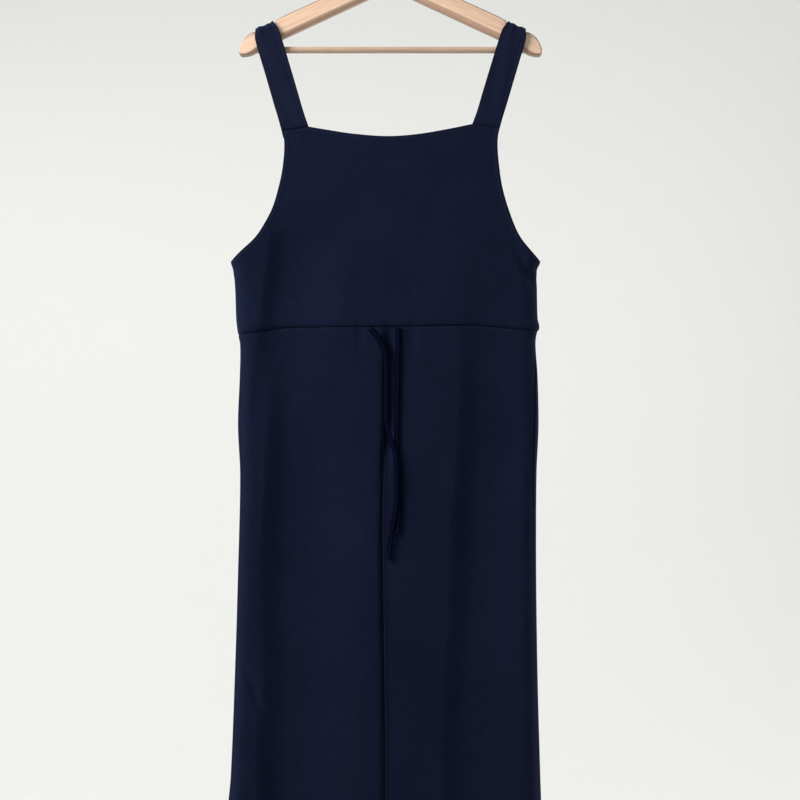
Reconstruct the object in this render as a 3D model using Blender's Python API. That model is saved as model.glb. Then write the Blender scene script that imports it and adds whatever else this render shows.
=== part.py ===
"""Sleeveless jumpsuit with a drawstring waist, hung flat on a wooden hanger.

Metres, +Z up, the front faces -Y. The origin is the inside top of the hanger's hook, which holds it all up.
Left and right are as seen from the front. Each cloth piece is a closed wall: an outer surface worked out from
section tables, and the same surface moved in by the cloth's thickness.
"""

import math
from collections import namedtuple

import bmesh
import bpy
import numpy as np
from mathutils import Vector

# Cloth
CLOTH = 0.0015  # one layer of knit
STRAP_CLOTH = 0.0026  # two layers, turned and pressed
SEAM_GAP = 0.0003  # between pieces that are sewn together
TIE_RADIUS = 0.0025

# Heights, down from the hook's inside top
UNDERARM = -0.5218
WAIST = -0.6194
CROTCH = -0.9405
HEM = -1.5800
BACK_NECK_DROP = 0.0060  # the back neck edge below the front one

# How the cloth turns at its edges
SIDE_ROLL = 0.0240  # width of the rounded side
INNER_ROLL = 0.0150  # width of the rounded edge at the centre seam and the inside leg

# Hanger
BOARD_THICK = 0.0140
BAR_RADIUS = 0.0047
BAR_HEIGHT = -0.2080
BAR_HALF_LENGTH = 0.2080
BAR_SOCKET_END = 0.2090
WIRE_RADIUS = 0.0018
HOOK_RADIUS = 0.0215  # inside
HOOK_NECK = 1.45  # where the stem starts to swing out, below the hook's middle, in hook radii
HOOK_START = -38  # degrees, where the round part starts
HOOK_TURN = 238  # degrees, how far round it goes
STEM_DEPTH = 0.0200  # how far the wire goes into the board
FIT_GAP = 0.0003  # between pieces that touch

LEFT, RIGHT = -1, 1
FRONT, BACK = -1, 1

# Outline and depth of the hung body. left and right are the two side lines across, depth is how far the front
# and back stand off the middle plane, and the seam angles say how far round to the front the side seams lie.
Section = namedtuple("Section", "height left right depth seam_left seam_right")
SECTIONS = (
    Section(-0.3200, -0.2360, 0.2215, 0.0104, 0, 0),
    Section(-0.4200, -0.2360, 0.2215, 0.0125, 0, 0),
    Section(UNDERARM, -0.2360, 0.2215, 0.0160, 0, 0),
    Section(-0.5340, -0.2325, 0.2165, 0.0165, 0, 0),
    Section(-0.5630, -0.2300, 0.2170, 0.0170, 0, 0),
    Section(-0.6060, -0.2285, 0.2180, 0.0180, 0, 0),
    Section(WAIST, -0.2270, 0.2205, 0.0185, 0, 0),
    Section(-0.6300, -0.2255, 0.2160, 0.0185, 4, 4),
    Section(-0.6450, -0.2225, 0.2145, 0.0185, 11, 12),
    Section(-0.6900, -0.2230, 0.2175, 0.0195, 27, 31),
    Section(-0.7630, -0.2257, 0.2190, 0.0205, 34, 40),
    Section(-0.8370, -0.2225, 0.2160, 0.0215, 32, 38),
    Section(-0.9850, -0.2257, 0.2155, 0.0235, 30, 36),
    Section(-1.1330, -0.2302, 0.2175, 0.0250, 32, 34),
    Section(-1.2810, -0.2362, 0.2215, 0.0265, 32, 34),
    Section(-1.3300, -0.2405, 0.2232, 0.0270, 32, 34),
    Section(-1.4500, -0.2450, 0.2270, 0.0285, 30, 32),
    Section(HEM, -0.2490, 0.2310, 0.0300, 30, 32),
)

# Cut edges of the armholes, from the bib's corners down to the underarm.
Armhole = namedtuple("Armhole", "height left right")
ARMHOLES = (
    Armhole(-0.3200, -0.1610, 0.1608),
    Armhole(-0.3480, -0.1563, 0.1576),
    Armhole(-0.3860, -0.1590, 0.1604),
    Armhole(-0.4150, -0.1650, 0.1650),
    Armhole(-0.4450, -0.1742, 0.1735),
    Armhole(-0.4740, -0.1895, 0.1843),
    Armhole(-0.4890, -0.2005, 0.1925),
    Armhole(-0.5040, -0.2165, 0.2045),
    Armhole(UNDERARM, -0.2360, 0.2215),
)

# The bib's top edge: a strap seam at each end and the neck's shallow dip between them.
NECK_CORNER = 0.1206
TopPoint = namedtuple("TopPoint", "across height")
NECK_EDGE = (
    TopPoint(-NECK_CORNER, -0.3234),
    TopPoint(-0.0960, -0.3277),
    TopPoint(-0.0570, -0.3337),
    TopPoint(-0.0050, -0.3375),
    TopPoint(0.0400, -0.3345),
    TopPoint(0.0850, -0.3270),
    TopPoint(NECK_CORNER, -0.3195),
)
STRAP_SEAM = -0.3260  # its height, midway
STRAP_SEAM_DROP = 0.0062  # the strap seam falls by this much from the neck corner to the armhole

# The waist seam sags a little towards both sides.
WAIST_EDGE = (
    TopPoint(-0.2270, -0.6300),
    TopPoint(-0.1960, -0.6268),
    TopPoint(-0.1600, -0.6206),
    TopPoint(-0.1200, -0.6194),
    TopPoint(-0.0100, -0.6190),
    TopPoint(0.1200, -0.6170),
    TopPoint(0.1600, -0.6198),
    TopPoint(0.2205, -0.6256),
)

WAIST_BEND = 0.0800  # how far down the legs' rows still follow the waist seam

# The centre seam between the legs: across is its line, valley is how far it is drawn in towards the middle
# plane (1 is all the way, at the crotch), and apart is half the space between the two legs.
Centre = namedtuple("Centre", "height across valley apart")
CENTRE = (
    Centre(-0.6000, -0.0085, 0.10, 0.0),
    Centre(-0.7000, -0.0090, 0.22, 0.0),
    Centre(-0.8000, -0.0100, 0.38, 0.0),
    Centre(-0.8700, -0.0118, 0.56, 0.0),
    Centre(-0.9150, -0.0128, 0.80, 0.0),
    Centre(CROTCH, -0.0130, 1.00, 0.0),
    Centre(-1.0600, -0.0114, 1.00, 0.0002),
    Centre(-1.1600, -0.0098, 1.00, 0.0008),
    Centre(-1.3200, -0.0090, 1.00, 0.0030),
    Centre(HEM, -0.0085, 1.00, 0.0080),
)

# The largest folds. Each runs down the cloth through a few points, with its depth at each, and has a flank
# width on its left and on its right.
FoldPoint = namedtuple("FoldPoint", "height across depth")
Fold = namedtuple("Fold", "face left_flank right_flank line")
FOLDS = (
    Fold(FRONT, 0.012, 0.060, (
        FoldPoint(-0.4200, -0.1580, 0.0),
        FoldPoint(-0.5000, -0.1700, 0.0030),
        FoldPoint(-0.6100, -0.1810, 0.0050),
        FoldPoint(-0.7500, -0.1770, 0.0055),
        FoldPoint(-0.9600, -0.1810, 0.0050),
        FoldPoint(-1.0800, -0.1770, 0.0040),
        FoldPoint(-1.2400, -0.1840, 0.0065),
        FoldPoint(HEM, -0.1800, 0.0080),
    )),
    Fold(FRONT, 0.040, 0.045, (
        FoldPoint(-0.4800, 0.1260, 0.0),
        FoldPoint(-0.6100, 0.1180, 0.0030),
        FoldPoint(-0.7700, 0.1090, 0.0045),
        FoldPoint(-0.9500, 0.1050, 0.0050),
        FoldPoint(-1.0900, 0.0990, 0.0045),
        FoldPoint(-1.2600, 0.0940, 0.0035),
        FoldPoint(HEM, 0.1000, 0.0060),
    )),
    Fold(BACK, 0.045, 0.030, (
        FoldPoint(-0.5000, -0.1080, 0.0),
        FoldPoint(-0.7000, -0.1150, 0.0045),
        FoldPoint(-1.0500, -0.1240, 0.0050),
        FoldPoint(HEM, -0.1320, 0.0080),
    )),
    Fold(BACK, 0.050, 0.020, (
        FoldPoint(-0.4400, 0.1480, 0.0),
        FoldPoint(-0.6200, 0.1560, 0.0050),
        FoldPoint(-0.9000, 0.1500, 0.0055),
        FoldPoint(-1.2500, 0.1580, 0.0050),
        FoldPoint(HEM, 0.1640, 0.0070),
    )),
)

# A strap from the crown, where it lies on the hanger, down to its seam. drop is the distance along it, stand
# is how far its outer face stands off the middle plane, half its half width, and lean the slope across it.
StrapRow = namedtuple("StrapRow", "drop stand half lean")
STRAP_ROWS = (
    StrapRow(0.0000, 0.0000, 0.0136, 22.8),
    StrapRow(0.0002, 0.0048, 0.0136, 22.8),
    StrapRow(0.0018, 0.0084, 0.0140, 22.6),
    StrapRow(0.0056, 0.0100, 0.0160, 22.0),
    StrapRow(0.0125, 0.0101, 0.0186, 20.0),
    StrapRow(0.0300, 0.0101, 0.0193, 17.5),
    StrapRow(0.0700, 0.0102, 0.0193, 16.5),
    StrapRow(0.1100, 0.0103, 0.0192, 15.5),
    StrapRow(0.1350, 0.0104, 0.0190, 13.5),
)
STRAP_CROWN = (0.1858, -0.1746)  # across from the middle, height

# The drawstring's two free ends. lift is the space between the tie and the cloth under it.
TiePoint = namedtuple("TiePoint", "across height lift")
TIES = {
    "tie_left": (
        TiePoint(-0.0303, -0.6212, 0.0003),
        TiePoint(-0.0215, -0.6310, 0.0004),
        TiePoint(-0.0141, -0.6430, 0.0005),
        TiePoint(-0.0085, -0.6570, 0.0006),
        TiePoint(-0.0066, -0.6800, 0.0010),
        TiePoint(-0.0064, -0.7200, 0.0015),
        TiePoint(-0.0062, -0.7550, 0.0030),
        TiePoint(-0.0030, -0.7720, 0.0052),
        TiePoint(0.0022, -0.7880, 0.0062),
        TiePoint(0.0070, -0.8040, 0.0060),
        TiePoint(0.0092, -0.8300, 0.0058),
        TiePoint(0.0094, -0.8600, 0.0056),
        TiePoint(0.0074, -0.8860, 0.0050),
        TiePoint(0.0030, -0.9120, 0.0036),
        TiePoint(-0.0008, -0.9400, 0.0020),
        TiePoint(-0.0030, -0.9580, 0.0014),
    ),
    "tie_right": (
        TiePoint(0.0111, -0.6200, 0.0003),
        TiePoint(0.0110, -0.6400, 0.0004),
        TiePoint(0.0106, -0.6800, 0.0006),
        TiePoint(0.0096, -0.7300, 0.0006),
        TiePoint(0.0092, -0.7700, 0.0005),
        TiePoint(0.0098, -0.8000, 0.0005),
        TiePoint(0.0124, -0.8250, 0.0005),
        TiePoint(0.0140, -0.8550, 0.0005),
        TiePoint(0.0128, -0.8880, 0.0005),
        TiePoint(0.0094, -0.9220, 0.0005),
    ),
}
TIE_STEP = 0.0105

# Half of the board's outline, from the underside's arch out to the tip and back along the top.
BoardPoint = namedtuple("BoardPoint", "across height")
UNDERSIDE_PEAK = BoardPoint(0.0, -0.1183)
TOP_PEAK = BoardPoint(0.0, -0.0876)
UNDERSIDE_FILLET = 0.035
TOP_FILLET = 0.070
BOARD_EDGE = (
    BoardPoint(0.1547, -0.1902),
    BoardPoint(0.1950, -0.2098),
    BoardPoint(0.2040, -0.2146),
    BoardPoint(0.2120, -0.2166),
    BoardPoint(0.2205, -0.2172),
    BoardPoint(0.2232, -0.2150),
    BoardPoint(0.2236, -0.2085),
    BoardPoint(0.2205, -0.1995),
    BoardPoint(0.2155, -0.1915),
    BoardPoint(0.2085, -0.1858),
    BoardPoint(0.2012, -0.1826),
    BoardPoint(0.1998, -0.1841),
    BoardPoint(0.1716, -0.1722),
    BoardPoint(0.1708, -0.1664),
    BoardPoint(0.1576, -0.1592),
)
# The board's edge is rounded over towards its two faces: inset is how far the outline draws in.
BoardLayer = namedtuple("BoardLayer", "stand inset")
BOARD_LAYERS = (
    BoardLayer(-BOARD_THICK / 2, 0.0022),
    BoardLayer(-BOARD_THICK / 2 + 0.0008, 0.0007),
    BoardLayer(-BOARD_THICK / 2 + 0.0022, 0.0),
    BoardLayer(BOARD_THICK / 2 - 0.0022, 0.0),
    BoardLayer(BOARD_THICK / 2 - 0.0008, 0.0007),
    BoardLayer(BOARD_THICK / 2, 0.0022),
)

# Mesh density
ROLL_ANGLES = (0.0, 22.5, 45.0, 67.5, 90.0)
FLAT_SHARES = (0.170, 0.230, 0.300, 0.370)  # columns between a neck corner and the centre, as shares across
LOWER_BODICE_ROWS = (0.0, 0.14, 0.40, 0.70, 1.0)
UPPER_BODICE_ROWS = (0.03, 0.07, 0.12, 0.19, 0.28, 0.39, 0.52, 0.66, 0.80, 0.91, 1.0)
LEG_HEIGHTS = (
    WAIST, -0.630, -0.645, -0.668, -0.700, -0.745, -0.795, -0.840, -0.875, -0.905, -0.926,
    CROTCH, -0.965, -1.010, -1.070, -1.135, -1.205, -1.275, -1.345, -1.420, -1.500, HEM,
)

NAVY = (0.0100, 0.0135, 0.0330)
BEECH = (0.74, 0.56, 0.42)
STEEL = (0.72, 0.72, 0.72)


def clear_scene():
    """Removes everything that the scene starts with."""
    for thing in list(bpy.data.objects):
        bpy.data.objects.remove(thing, do_unlink=True)


def material(name, colour, roughness, metallic=0.0):
    """A Principled material."""
    made = bpy.data.materials.new(name)
    made.use_nodes = True
    shader = made.node_tree.nodes["Principled BSDF"]
    shader.inputs["Base Color"].default_value = (*colour, 1.0)
    shader.inputs["Roughness"].default_value = roughness
    shader.inputs["Metallic"].default_value = metallic
    made.diffuse_color = (*colour, 1.0)
    return made


def smooth(rows, key, column, value):
    """The column's value where the key column is value, on a smooth curve through the rows."""
    keys = [getattr(row, key) for row in rows]
    values = [getattr(row, column) for row in rows]
    if keys[0] > keys[-1]:
        keys, values = keys[::-1], values[::-1]
    if value <= keys[0]:
        return values[0]
    if value >= keys[-1]:
        return values[-1]
    i = max(k for k in range(len(keys) - 1) if keys[k] <= value)
    slopes = []
    for k in (i, i + 1):
        low, high = max(k - 1, 0), min(k + 1, len(keys) - 1)
        slopes.append((values[high] - values[low]) / (keys[high] - keys[low]))
    span = keys[i + 1] - keys[i]
    t = (value - keys[i]) / span
    return (
        values[i] * (2 * t**3 - 3 * t**2 + 1)
        + values[i + 1] * (3 * t**2 - 2 * t**3)
        + slopes[0] * span * (t**3 - 2 * t**2 + t)
        + slopes[1] * span * (t**3 - t**2)
    )


def mix(a, b, t):
    return a + (b - a) * t


def section(height, column):
    return smooth(SECTIONS, "height", column, height)


def centre(height, column):
    return smooth(CENTRE, "height", column, height)


def fold_depth(face, across, height):
    """How far the folds of one face draw the cloth in towards the middle plane."""
    total = 0.0
    for fold in FOLDS:
        if fold.face != face or height > fold.line[0].height:
            continue
        offset = across - smooth(fold.line, "height", "across", height)
        share = offset / (fold.left_flank if offset < 0 else fold.right_flank)
        if abs(share) < 1:
            total += smooth(fold.line, "height", "depth", height) * (1 - share**2) ** 2
    return total


def wall(name, surface, us, vs, thickness, finish):
    """A closed wall: the surface over a grid of (u, v), and the same grid moved in along its normals.

    The surface runs so that u crossed with v points out of the cloth.
    """
    step = 1e-5
    mesh = bmesh.new()
    outer, inner = [], []
    for v in vs:
        for u in us:
            along_u = surface(u + step, v) - surface(u - step, v)
            along_v = surface(u, v + step) - surface(u, v - step)
            point = surface(u, v)
            normal = np.cross(along_u, along_v)
            outer.append(mesh.verts.new(point))
            inner.append(mesh.verts.new(point - normal / np.linalg.norm(normal) * thickness))
    columns, rows = len(us), len(vs)

    def quad(skin, i, j, turned):
        corners = [skin[j * columns + i], skin[j * columns + i + 1],
                   skin[(j + 1) * columns + i + 1], skin[(j + 1) * columns + i]]
        mesh.faces.new(corners[::-1] if turned else corners)

    for j in range(rows - 1):
        for i in range(columns - 1):
            quad(outer, i, j, False)
            quad(inner, i, j, True)
    rim = list(range(columns))
    rim += [j * columns + columns - 1 for j in range(1, rows)]
    rim += [(rows - 1) * columns + i for i in range(columns - 2, -1, -1)]
    rim += [j * columns for j in range(rows - 2, 0, -1)]
    for a, b in zip(rim, rim[1:] + rim[:1]):
        mesh.faces.new([outer[b], outer[a], inner[a], inner[b]])
    return add_mesh(name, mesh, finish)


def add_mesh(name, mesh, finish, angle=40.0):
    """Turns a bmesh into a named, smooth-shaded object."""
    data = bpy.data.meshes.new(name)
    mesh.to_mesh(data)
    mesh.free()
    data.shade_smooth()
    data.set_sharp_from_angle(angle=math.radians(angle))
    data.materials.append(finish)
    made = bpy.data.objects.new(name, data)
    bpy.context.scene.collection.objects.link(made)
    return made


def side_roll(across, height):
    """How far the cloth at this place stands off the middle plane, as a share of the full depth.

    Just past the side line it goes on round to the other face.
    """
    inside = min(across - section(height, "left"), section(height, "right") - across)
    share = min(abs(inside) / SIDE_ROLL, 1.0)
    return math.copysign(math.sqrt(1 - (1 - share) ** 2), inside)


def bodice_stand(face, across, height):
    """How far the bodice's outer face stands off the middle plane."""
    full = section(height, "depth") - SEAM_GAP / 2
    return SEAM_GAP / 2 + full * side_roll(across, height) - fold_depth(face, across, height)


def top_edge(across, face):
    """Height of the bib's top edge: strap seams outside the neck corners, the neck between them."""
    drop = BACK_NECK_DROP if face == BACK else 0.0
    inside = max(-NECK_CORNER, min(NECK_CORNER, across))
    past = abs(across) - NECK_CORNER
    height = smooth(NECK_EDGE, "across", "height", inside) - drop
    if past > 0:
        corner = NECK_EDGE[0 if across < 0 else -1].height - drop
        height = corner - STRAP_SEAM_DROP * past / (0.1585 - NECK_CORNER)
    return height


def waist_edge(across):
    return smooth(WAIST_EDGE, "across", "height", across)


def bodice_surface(face):
    """The bodice's outer surface. u runs across from 0 to 1.

    v runs up from the waist (0) past the underarm (1) to the top edge (2).
    """

    def edge(height, side):
        if height > UNDERARM:
            return smooth(ARMHOLES, "height", side, height)
        return section(height, side)

    def surface(u, v):
        top_across = mix(edge(STRAP_SEAM, "left"), edge(STRAP_SEAM, "right"), u)
        waist_across = mix(section(WAIST, "left"), section(WAIST, "right"), u)
        if v <= 1:
            height = mix(waist_edge(waist_across) + SEAM_GAP / 2, UNDERARM, v)
        else:
            height = mix(UNDERARM, top_edge(top_across, face), v - 1)
        across = mix(edge(height, "left"), edge(height, "right"), u)
        return np.array((across, face * bodice_stand(face, across, height), height))

    return surface


def turned(surface, columns):
    """The same surface and its columns with u run backwards, for a piece whose normals would point in."""
    last = columns[-1]

    def backwards(u, v):
        return surface(last - u, v)

    return backwards, [last - u for u in reversed(columns)]


def flat_shares(side):
    """Shares across, from one side to the centre seam, where the bodice and the legs both have a column."""
    top_left, top_right = (smooth(ARMHOLES, "height", name, STRAP_SEAM) for name in ("left", "right"))
    left, right = section(WAIST, "left"), section(WAIST, "right")
    corner = (side * NECK_CORNER - top_left) / (top_right - top_left)
    inner = (centre(WAIST, "across") + side * (SEAM_GAP / 2 + INNER_ROLL) - left) / (right - left)
    between = FLAT_SHARES if side == LEFT else [1 - share for share in FLAT_SHARES]
    return [corner, *between, inner]


def bodice_columns():
    """Shares across the bodice: close together in the rounded sides, and one on each neck corner."""
    left, right = section(WAIST, "left"), section(WAIST, "right")
    rolls = [SIDE_ROLL * (1 - math.cos(math.radians(angle))) / (right - left) for angle in ROLL_ANGLES]
    middle = (centre(WAIST, "across") - left) / (right - left)
    columns = rolls + flat_shares(LEFT) + [middle] + flat_shares(RIGHT) + [1 - share for share in rolls]
    return sorted(columns)


def build_bodice(name, face, finish):
    rows = list(LOWER_BODICE_ROWS) + [1 + share for share in UPPER_BODICE_ROWS]
    columns = bodice_columns()
    surface = bodice_surface(face)
    if face == BACK:
        surface, columns = turned(surface, columns)
    wall(name, surface, columns, rows, CLOTH, finish)


def leg_surface(side, face):
    """A leg panel's outer surface.

    u runs from the side seam (0) round the side (1), across (2) and round to the centre seam (3).
    v is the height, which the waist seam bends near the top.
    """
    inward = -side
    edge_name, seam_name = ("left", "seam_left") if side == LEFT else ("right", "seam_right")

    def surface(u, v):
        bend = max(0.0, 1 - (WAIST - v) / WAIST_BEND)
        near, _ = across_and_stand(u, v)
        height = v + (waist_edge(near) - WAIST - SEAM_GAP / 2) * bend
        across, stand = across_and_stand(u, height)
        return np.array((across, face * (stand - fold_depth(face, across, height)), height))

    def across_and_stand(u, height):
        outer = section(height, edge_name)
        depth = section(height, "depth")
        inner = centre(height, "across") - inward * (SEAM_GAP / 2 + centre(height, "apart"))
        if u < 1:
            seam = math.radians(section(height, seam_name))
            start = (seam if face == FRONT else -seam) + SEAM_GAP / 2 / depth
            angle = mix(start, math.pi / 2, u)
            return outer + inward * SIDE_ROLL * (1 - math.cos(angle)), depth * math.sin(angle)
        if u < 2:
            return mix(outer + inward * SIDE_ROLL, inner - inward * INNER_ROLL, u - 1), depth
        angle = mix(math.pi / 2, SEAM_GAP / 2 / depth, u - 2)
        drawn_in = min(centre(height, "valley"), 1.0) * (1 - math.sin(angle))
        return inner - inward * INNER_ROLL * (1 - math.cos(angle)), depth * (1 - drawn_in)

    return surface


def build_leg(name, side, face, finish):
    """One of the four leg panels."""
    rolls = [angle / 90 for angle in ROLL_ANGLES]
    places = [mix(section(WAIST, "left"), section(WAIST, "right"), share) for share in flat_shares(side)]
    start = section(WAIST, "left" if side == LEFT else "right") - side * SIDE_ROLL
    columns = rolls + [1 + (place - start) / (places[-1] - start) for place in places]
    columns += [2 + share for share in rolls[1:]]
    surface = leg_surface(side, face)
    if side * face < 0:
        surface, columns = turned(surface, columns)
    wall(name, surface, columns, list(reversed(LEG_HEIGHTS)), CLOTH, finish)


def strap_surface(side):
    """A strap's outer surface and its number of rows.

    u runs across it from -1 to 1, v over the rows from the front seam to the back seam.
    """
    last = len(STRAP_ROWS)

    def seam_row(face):
        outer = smooth(ARMHOLES, "height", "left" if side == LEFT else "right", STRAP_SEAM)
        ends = sorted((outer, side * NECK_CORNER))
        stand = section(STRAP_SEAM, "depth")
        return [np.array((across, face * stand, top_edge(across, face) + SEAM_GAP)) for across in ends]

    def row_edges(index, face):
        """The two edge points of one row, left one first. The last row is the seam."""
        foot = seam_row(face)
        if index == last:
            return foot
        row = STRAP_ROWS[index]
        crown = np.array((side * STRAP_CROWN[0], 0.0, STRAP_CROWN[1]))
        way = ((foot[0] + foot[1]) / 2 - crown) * (1, 0, 1)
        middle = crown + way / np.linalg.norm(way) * row.drop + (0, face * row.stand, 0)
        lean = math.radians(row.lean)
        reach = np.array((math.cos(lean), 0.0, -side * math.sin(lean))) * row.half
        return [middle - reach, middle + reach]

    front = [row_edges(index, FRONT) for index in range(last, -1, -1)]
    back = [row_edges(index, BACK) for index in range(1, last + 1)]
    rows = front + back

    def surface(u, v):
        index = min(max(int(math.floor(v)), 0), len(rows) - 2)
        t = v - index
        low = [mix(rows[index][k], rows[index + 1][k], t) for k in (0, 1)]
        return mix(low[0], low[1], (u + 1) / 2)

    return surface, len(rows)


def build_strap(name, side, finish):
    surface, count = strap_surface(side)
    wall(name, surface, (-1.0, 0.0, 1.0), range(count), STRAP_CLOTH, finish)


def tie_route(points):
    """Points along a tie, a small step apart, in front of the front panels."""
    heights = [point.height for point in points]
    count = round((heights[0] - heights[-1]) / TIE_STEP)
    route = []
    for i in range(count + 1):
        height = mix(heights[0], heights[-1], i / count)
        across = smooth(points, "height", "across", height)
        lift = smooth(points, "height", "lift", height)
        route.append(Vector((across, -(section(height, "depth") + TIE_RADIUS + lift), height)))
    return route


def tube(name, route, radius, finish):
    """A round tube with capped ends along a route."""
    curve = bpy.data.curves.new(name, "CURVE")
    curve.dimensions = "3D"
    curve.bevel_depth = radius
    curve.bevel_resolution = 2
    curve.use_fill_caps = True
    line = curve.splines.new("POLY")
    line.points.add(len(route) - 1)
    for point, place in zip(line.points, route):
        point.co = (*place, 1.0)
    curve.materials.append(finish)
    made = bpy.data.objects.new(name, curve)
    bpy.context.scene.collection.objects.link(made)


def build_tie(name, finish):
    """One free end of the drawstring."""
    tube(name, tie_route(TIES[name]), TIE_RADIUS, finish)


def fillet(peak, slope, radius, steps):
    """Points of the arc, at and right of the middle, that rounds a peak whose sides fall at the slope."""
    angle = math.atan(slope)
    middle = peak.height - radius / math.cos(angle)
    return [
        BoardPoint(radius * math.sin(angle * i / steps), middle + radius * math.cos(angle * i / steps))
        for i in range(steps + 1)
    ]


def board_outline():
    """The board's outline as seen from the front, counter-clockwise from the underside's middle."""
    under_slope = (UNDERSIDE_PEAK.height - BOARD_EDGE[0].height) / BOARD_EDGE[0].across
    top_slope = (TOP_PEAK.height - BOARD_EDGE[-1].height) / BOARD_EDGE[-1].across
    half = fillet(UNDERSIDE_PEAK, under_slope, UNDERSIDE_FILLET, 4)
    half += BOARD_EDGE
    half += reversed(fillet(TOP_PEAK, top_slope, TOP_FILLET, 4))
    mirrored = [BoardPoint(-point.across, point.height) for point in reversed(half[1:-1])]
    return [Vector((point.across, point.height)) for point in half + mirrored]


def inset(outline, amount):
    """The closed outline drawn in by the amount, each corner along its bisector."""
    drawn = []
    for i, point in enumerate(outline):
        before = (point - outline[i - 1]).normalized()
        after = (outline[(i + 1) % len(outline)] - point).normalized()
        inward = Vector((-before.y, before.x)) + Vector((-after.y, after.x))
        length = max(inward.length / 2, 0.5)
        drawn.append(point + inward.normalized() * amount / length)
    return drawn


def build_board(name, finish):
    """The hanger's board: layers of the outline through its thickness, bored for the bar and the hook."""
    outline = board_outline()
    mesh = bmesh.new()
    rings = []
    for layer in BOARD_LAYERS:
        points = inset(outline, layer.inset)
        rings.append([mesh.verts.new((point.x, layer.stand, point.y)) for point in points])
    for near, far in zip(rings, rings[1:]):
        for i in range(len(near)):
            j = (i + 1) % len(near)
            mesh.faces.new([near[i], far[i], far[j], near[j]])
    mesh.faces.new(rings[0])
    mesh.faces.new(rings[-1][::-1])
    bmesh.ops.recalc_face_normals(mesh, faces=mesh.faces)
    board = add_mesh(name, mesh, finish, angle=30.0)
    bore_board(board, "bar_bore", BAR_RADIUS + FIT_GAP, 2 * BAR_SOCKET_END, (0, 0, BAR_HEIGHT), "Y")
    stem_length = 2 * (STEM_DEPTH + FIT_GAP)
    bore_board(board, "stem_bore", WIRE_RADIUS + FIT_GAP, stem_length, (0, 0, board_crown()), "Z")


def board_crown():
    """Height of the middle of the board's top."""
    return max(point.y for point in board_outline())


def bore_board(board, name, radius, length, place, axis):
    """Cuts a round hole with a Boolean. Y turns the cutter to lie across the board."""
    bpy.ops.mesh.primitive_cylinder_add(vertices=16, radius=radius, depth=length, location=place)
    cutter = bpy.context.object
    cutter.name = name
    if axis == "Y":
        cutter.rotation_euler = (0.0, math.pi / 2, 0.0)
    cutter.hide_render = True
    cutter.display_type = "WIRE"
    cut = board.modifiers.new(name, "BOOLEAN")
    cut.object = cutter
    cut.operation = "DIFFERENCE"
    cut.solver = "EXACT"


def build_bar(name, finish):
    """The dowel between the board's two ends."""
    bpy.ops.mesh.primitive_cylinder_add(
        vertices=16, radius=BAR_RADIUS, depth=2 * BAR_HALF_LENGTH, location=(0, 0, BAR_HEIGHT),
        rotation=(0.0, math.pi / 2, 0.0),
    )
    bar = bpy.context.object
    bar.name = name
    bar.data.name = name
    bar.data.shade_smooth()
    bar.data.set_sharp_from_angle(angle=math.radians(40))
    bar.data.materials.append(finish)


def hook_route():
    """The wire's centreline: up out of the board, swung out to the right and over the top to an open end."""
    reach = HOOK_RADIUS + WIRE_RADIUS
    middle = WIRE_RADIUS - reach
    foot = board_crown() - STEM_DEPTH
    neck = middle - reach * HOOK_NECK
    route = [Vector((0.0, 0.0, mix(foot, neck, i / 5))) for i in range(6)]
    start, turn = math.radians(HOOK_START), math.radians(HOOK_TURN)
    swing = Vector((reach * math.cos(start), 0.0, middle + reach * math.sin(start)))
    for i in range(1, 6):
        t = i / 6
        across = swing.x * (3 * t**2 - 2 * t**3)
        route.append(Vector((across, 0.0, mix(neck, swing.z, t))))
    for i in range(23):
        angle = start + turn * i / 22
        route.append(Vector((reach * math.cos(angle), 0.0, middle + reach * math.sin(angle))))
    return route


def build_hook(name, finish):
    """The hanger's hook, a bent wire."""
    tube(name, hook_route(), WIRE_RADIUS, finish)


def main():
    clear_scene()
    navy = material("navy_knit", NAVY, 0.9)
    beech = material("beech", BEECH, 0.5)
    steel = material("hook_steel", STEEL, 0.3, 1.0)
    build_bodice("front_bodice", FRONT, navy)
    build_bodice("back_bodice", BACK, navy)
    for side, word in ((LEFT, "left"), (RIGHT, "right")):
        build_leg(f"front_leg_{word}", side, FRONT, navy)
        build_leg(f"back_leg_{word}", side, BACK, navy)
        build_strap(f"strap_{word}", side, navy)
        build_tie(f"tie_{word}", navy)
    build_board("hanger_arms", beech)
    build_bar("hanger_bar", beech)
    build_hook("hanger_hook", steel)


main()
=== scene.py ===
"""Fine form and finishes of a sleeveless jumpsuit with a drawstring waist, hung on a wooden hanger.

Metres, +Z up, the front faces -Y, and the origin is the inside top of the hanger's hook. Left and right are
as seen from the front. Each cloth piece is a fine closed wall on the form of its solid, with its creases,
turned edges and sewn seams, and takes the place of that solid.
"""

from __future__ import annotations

import logging
import math
from dataclasses import dataclass, field
from enum import Enum
from typing import NamedTuple, Sequence

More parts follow.
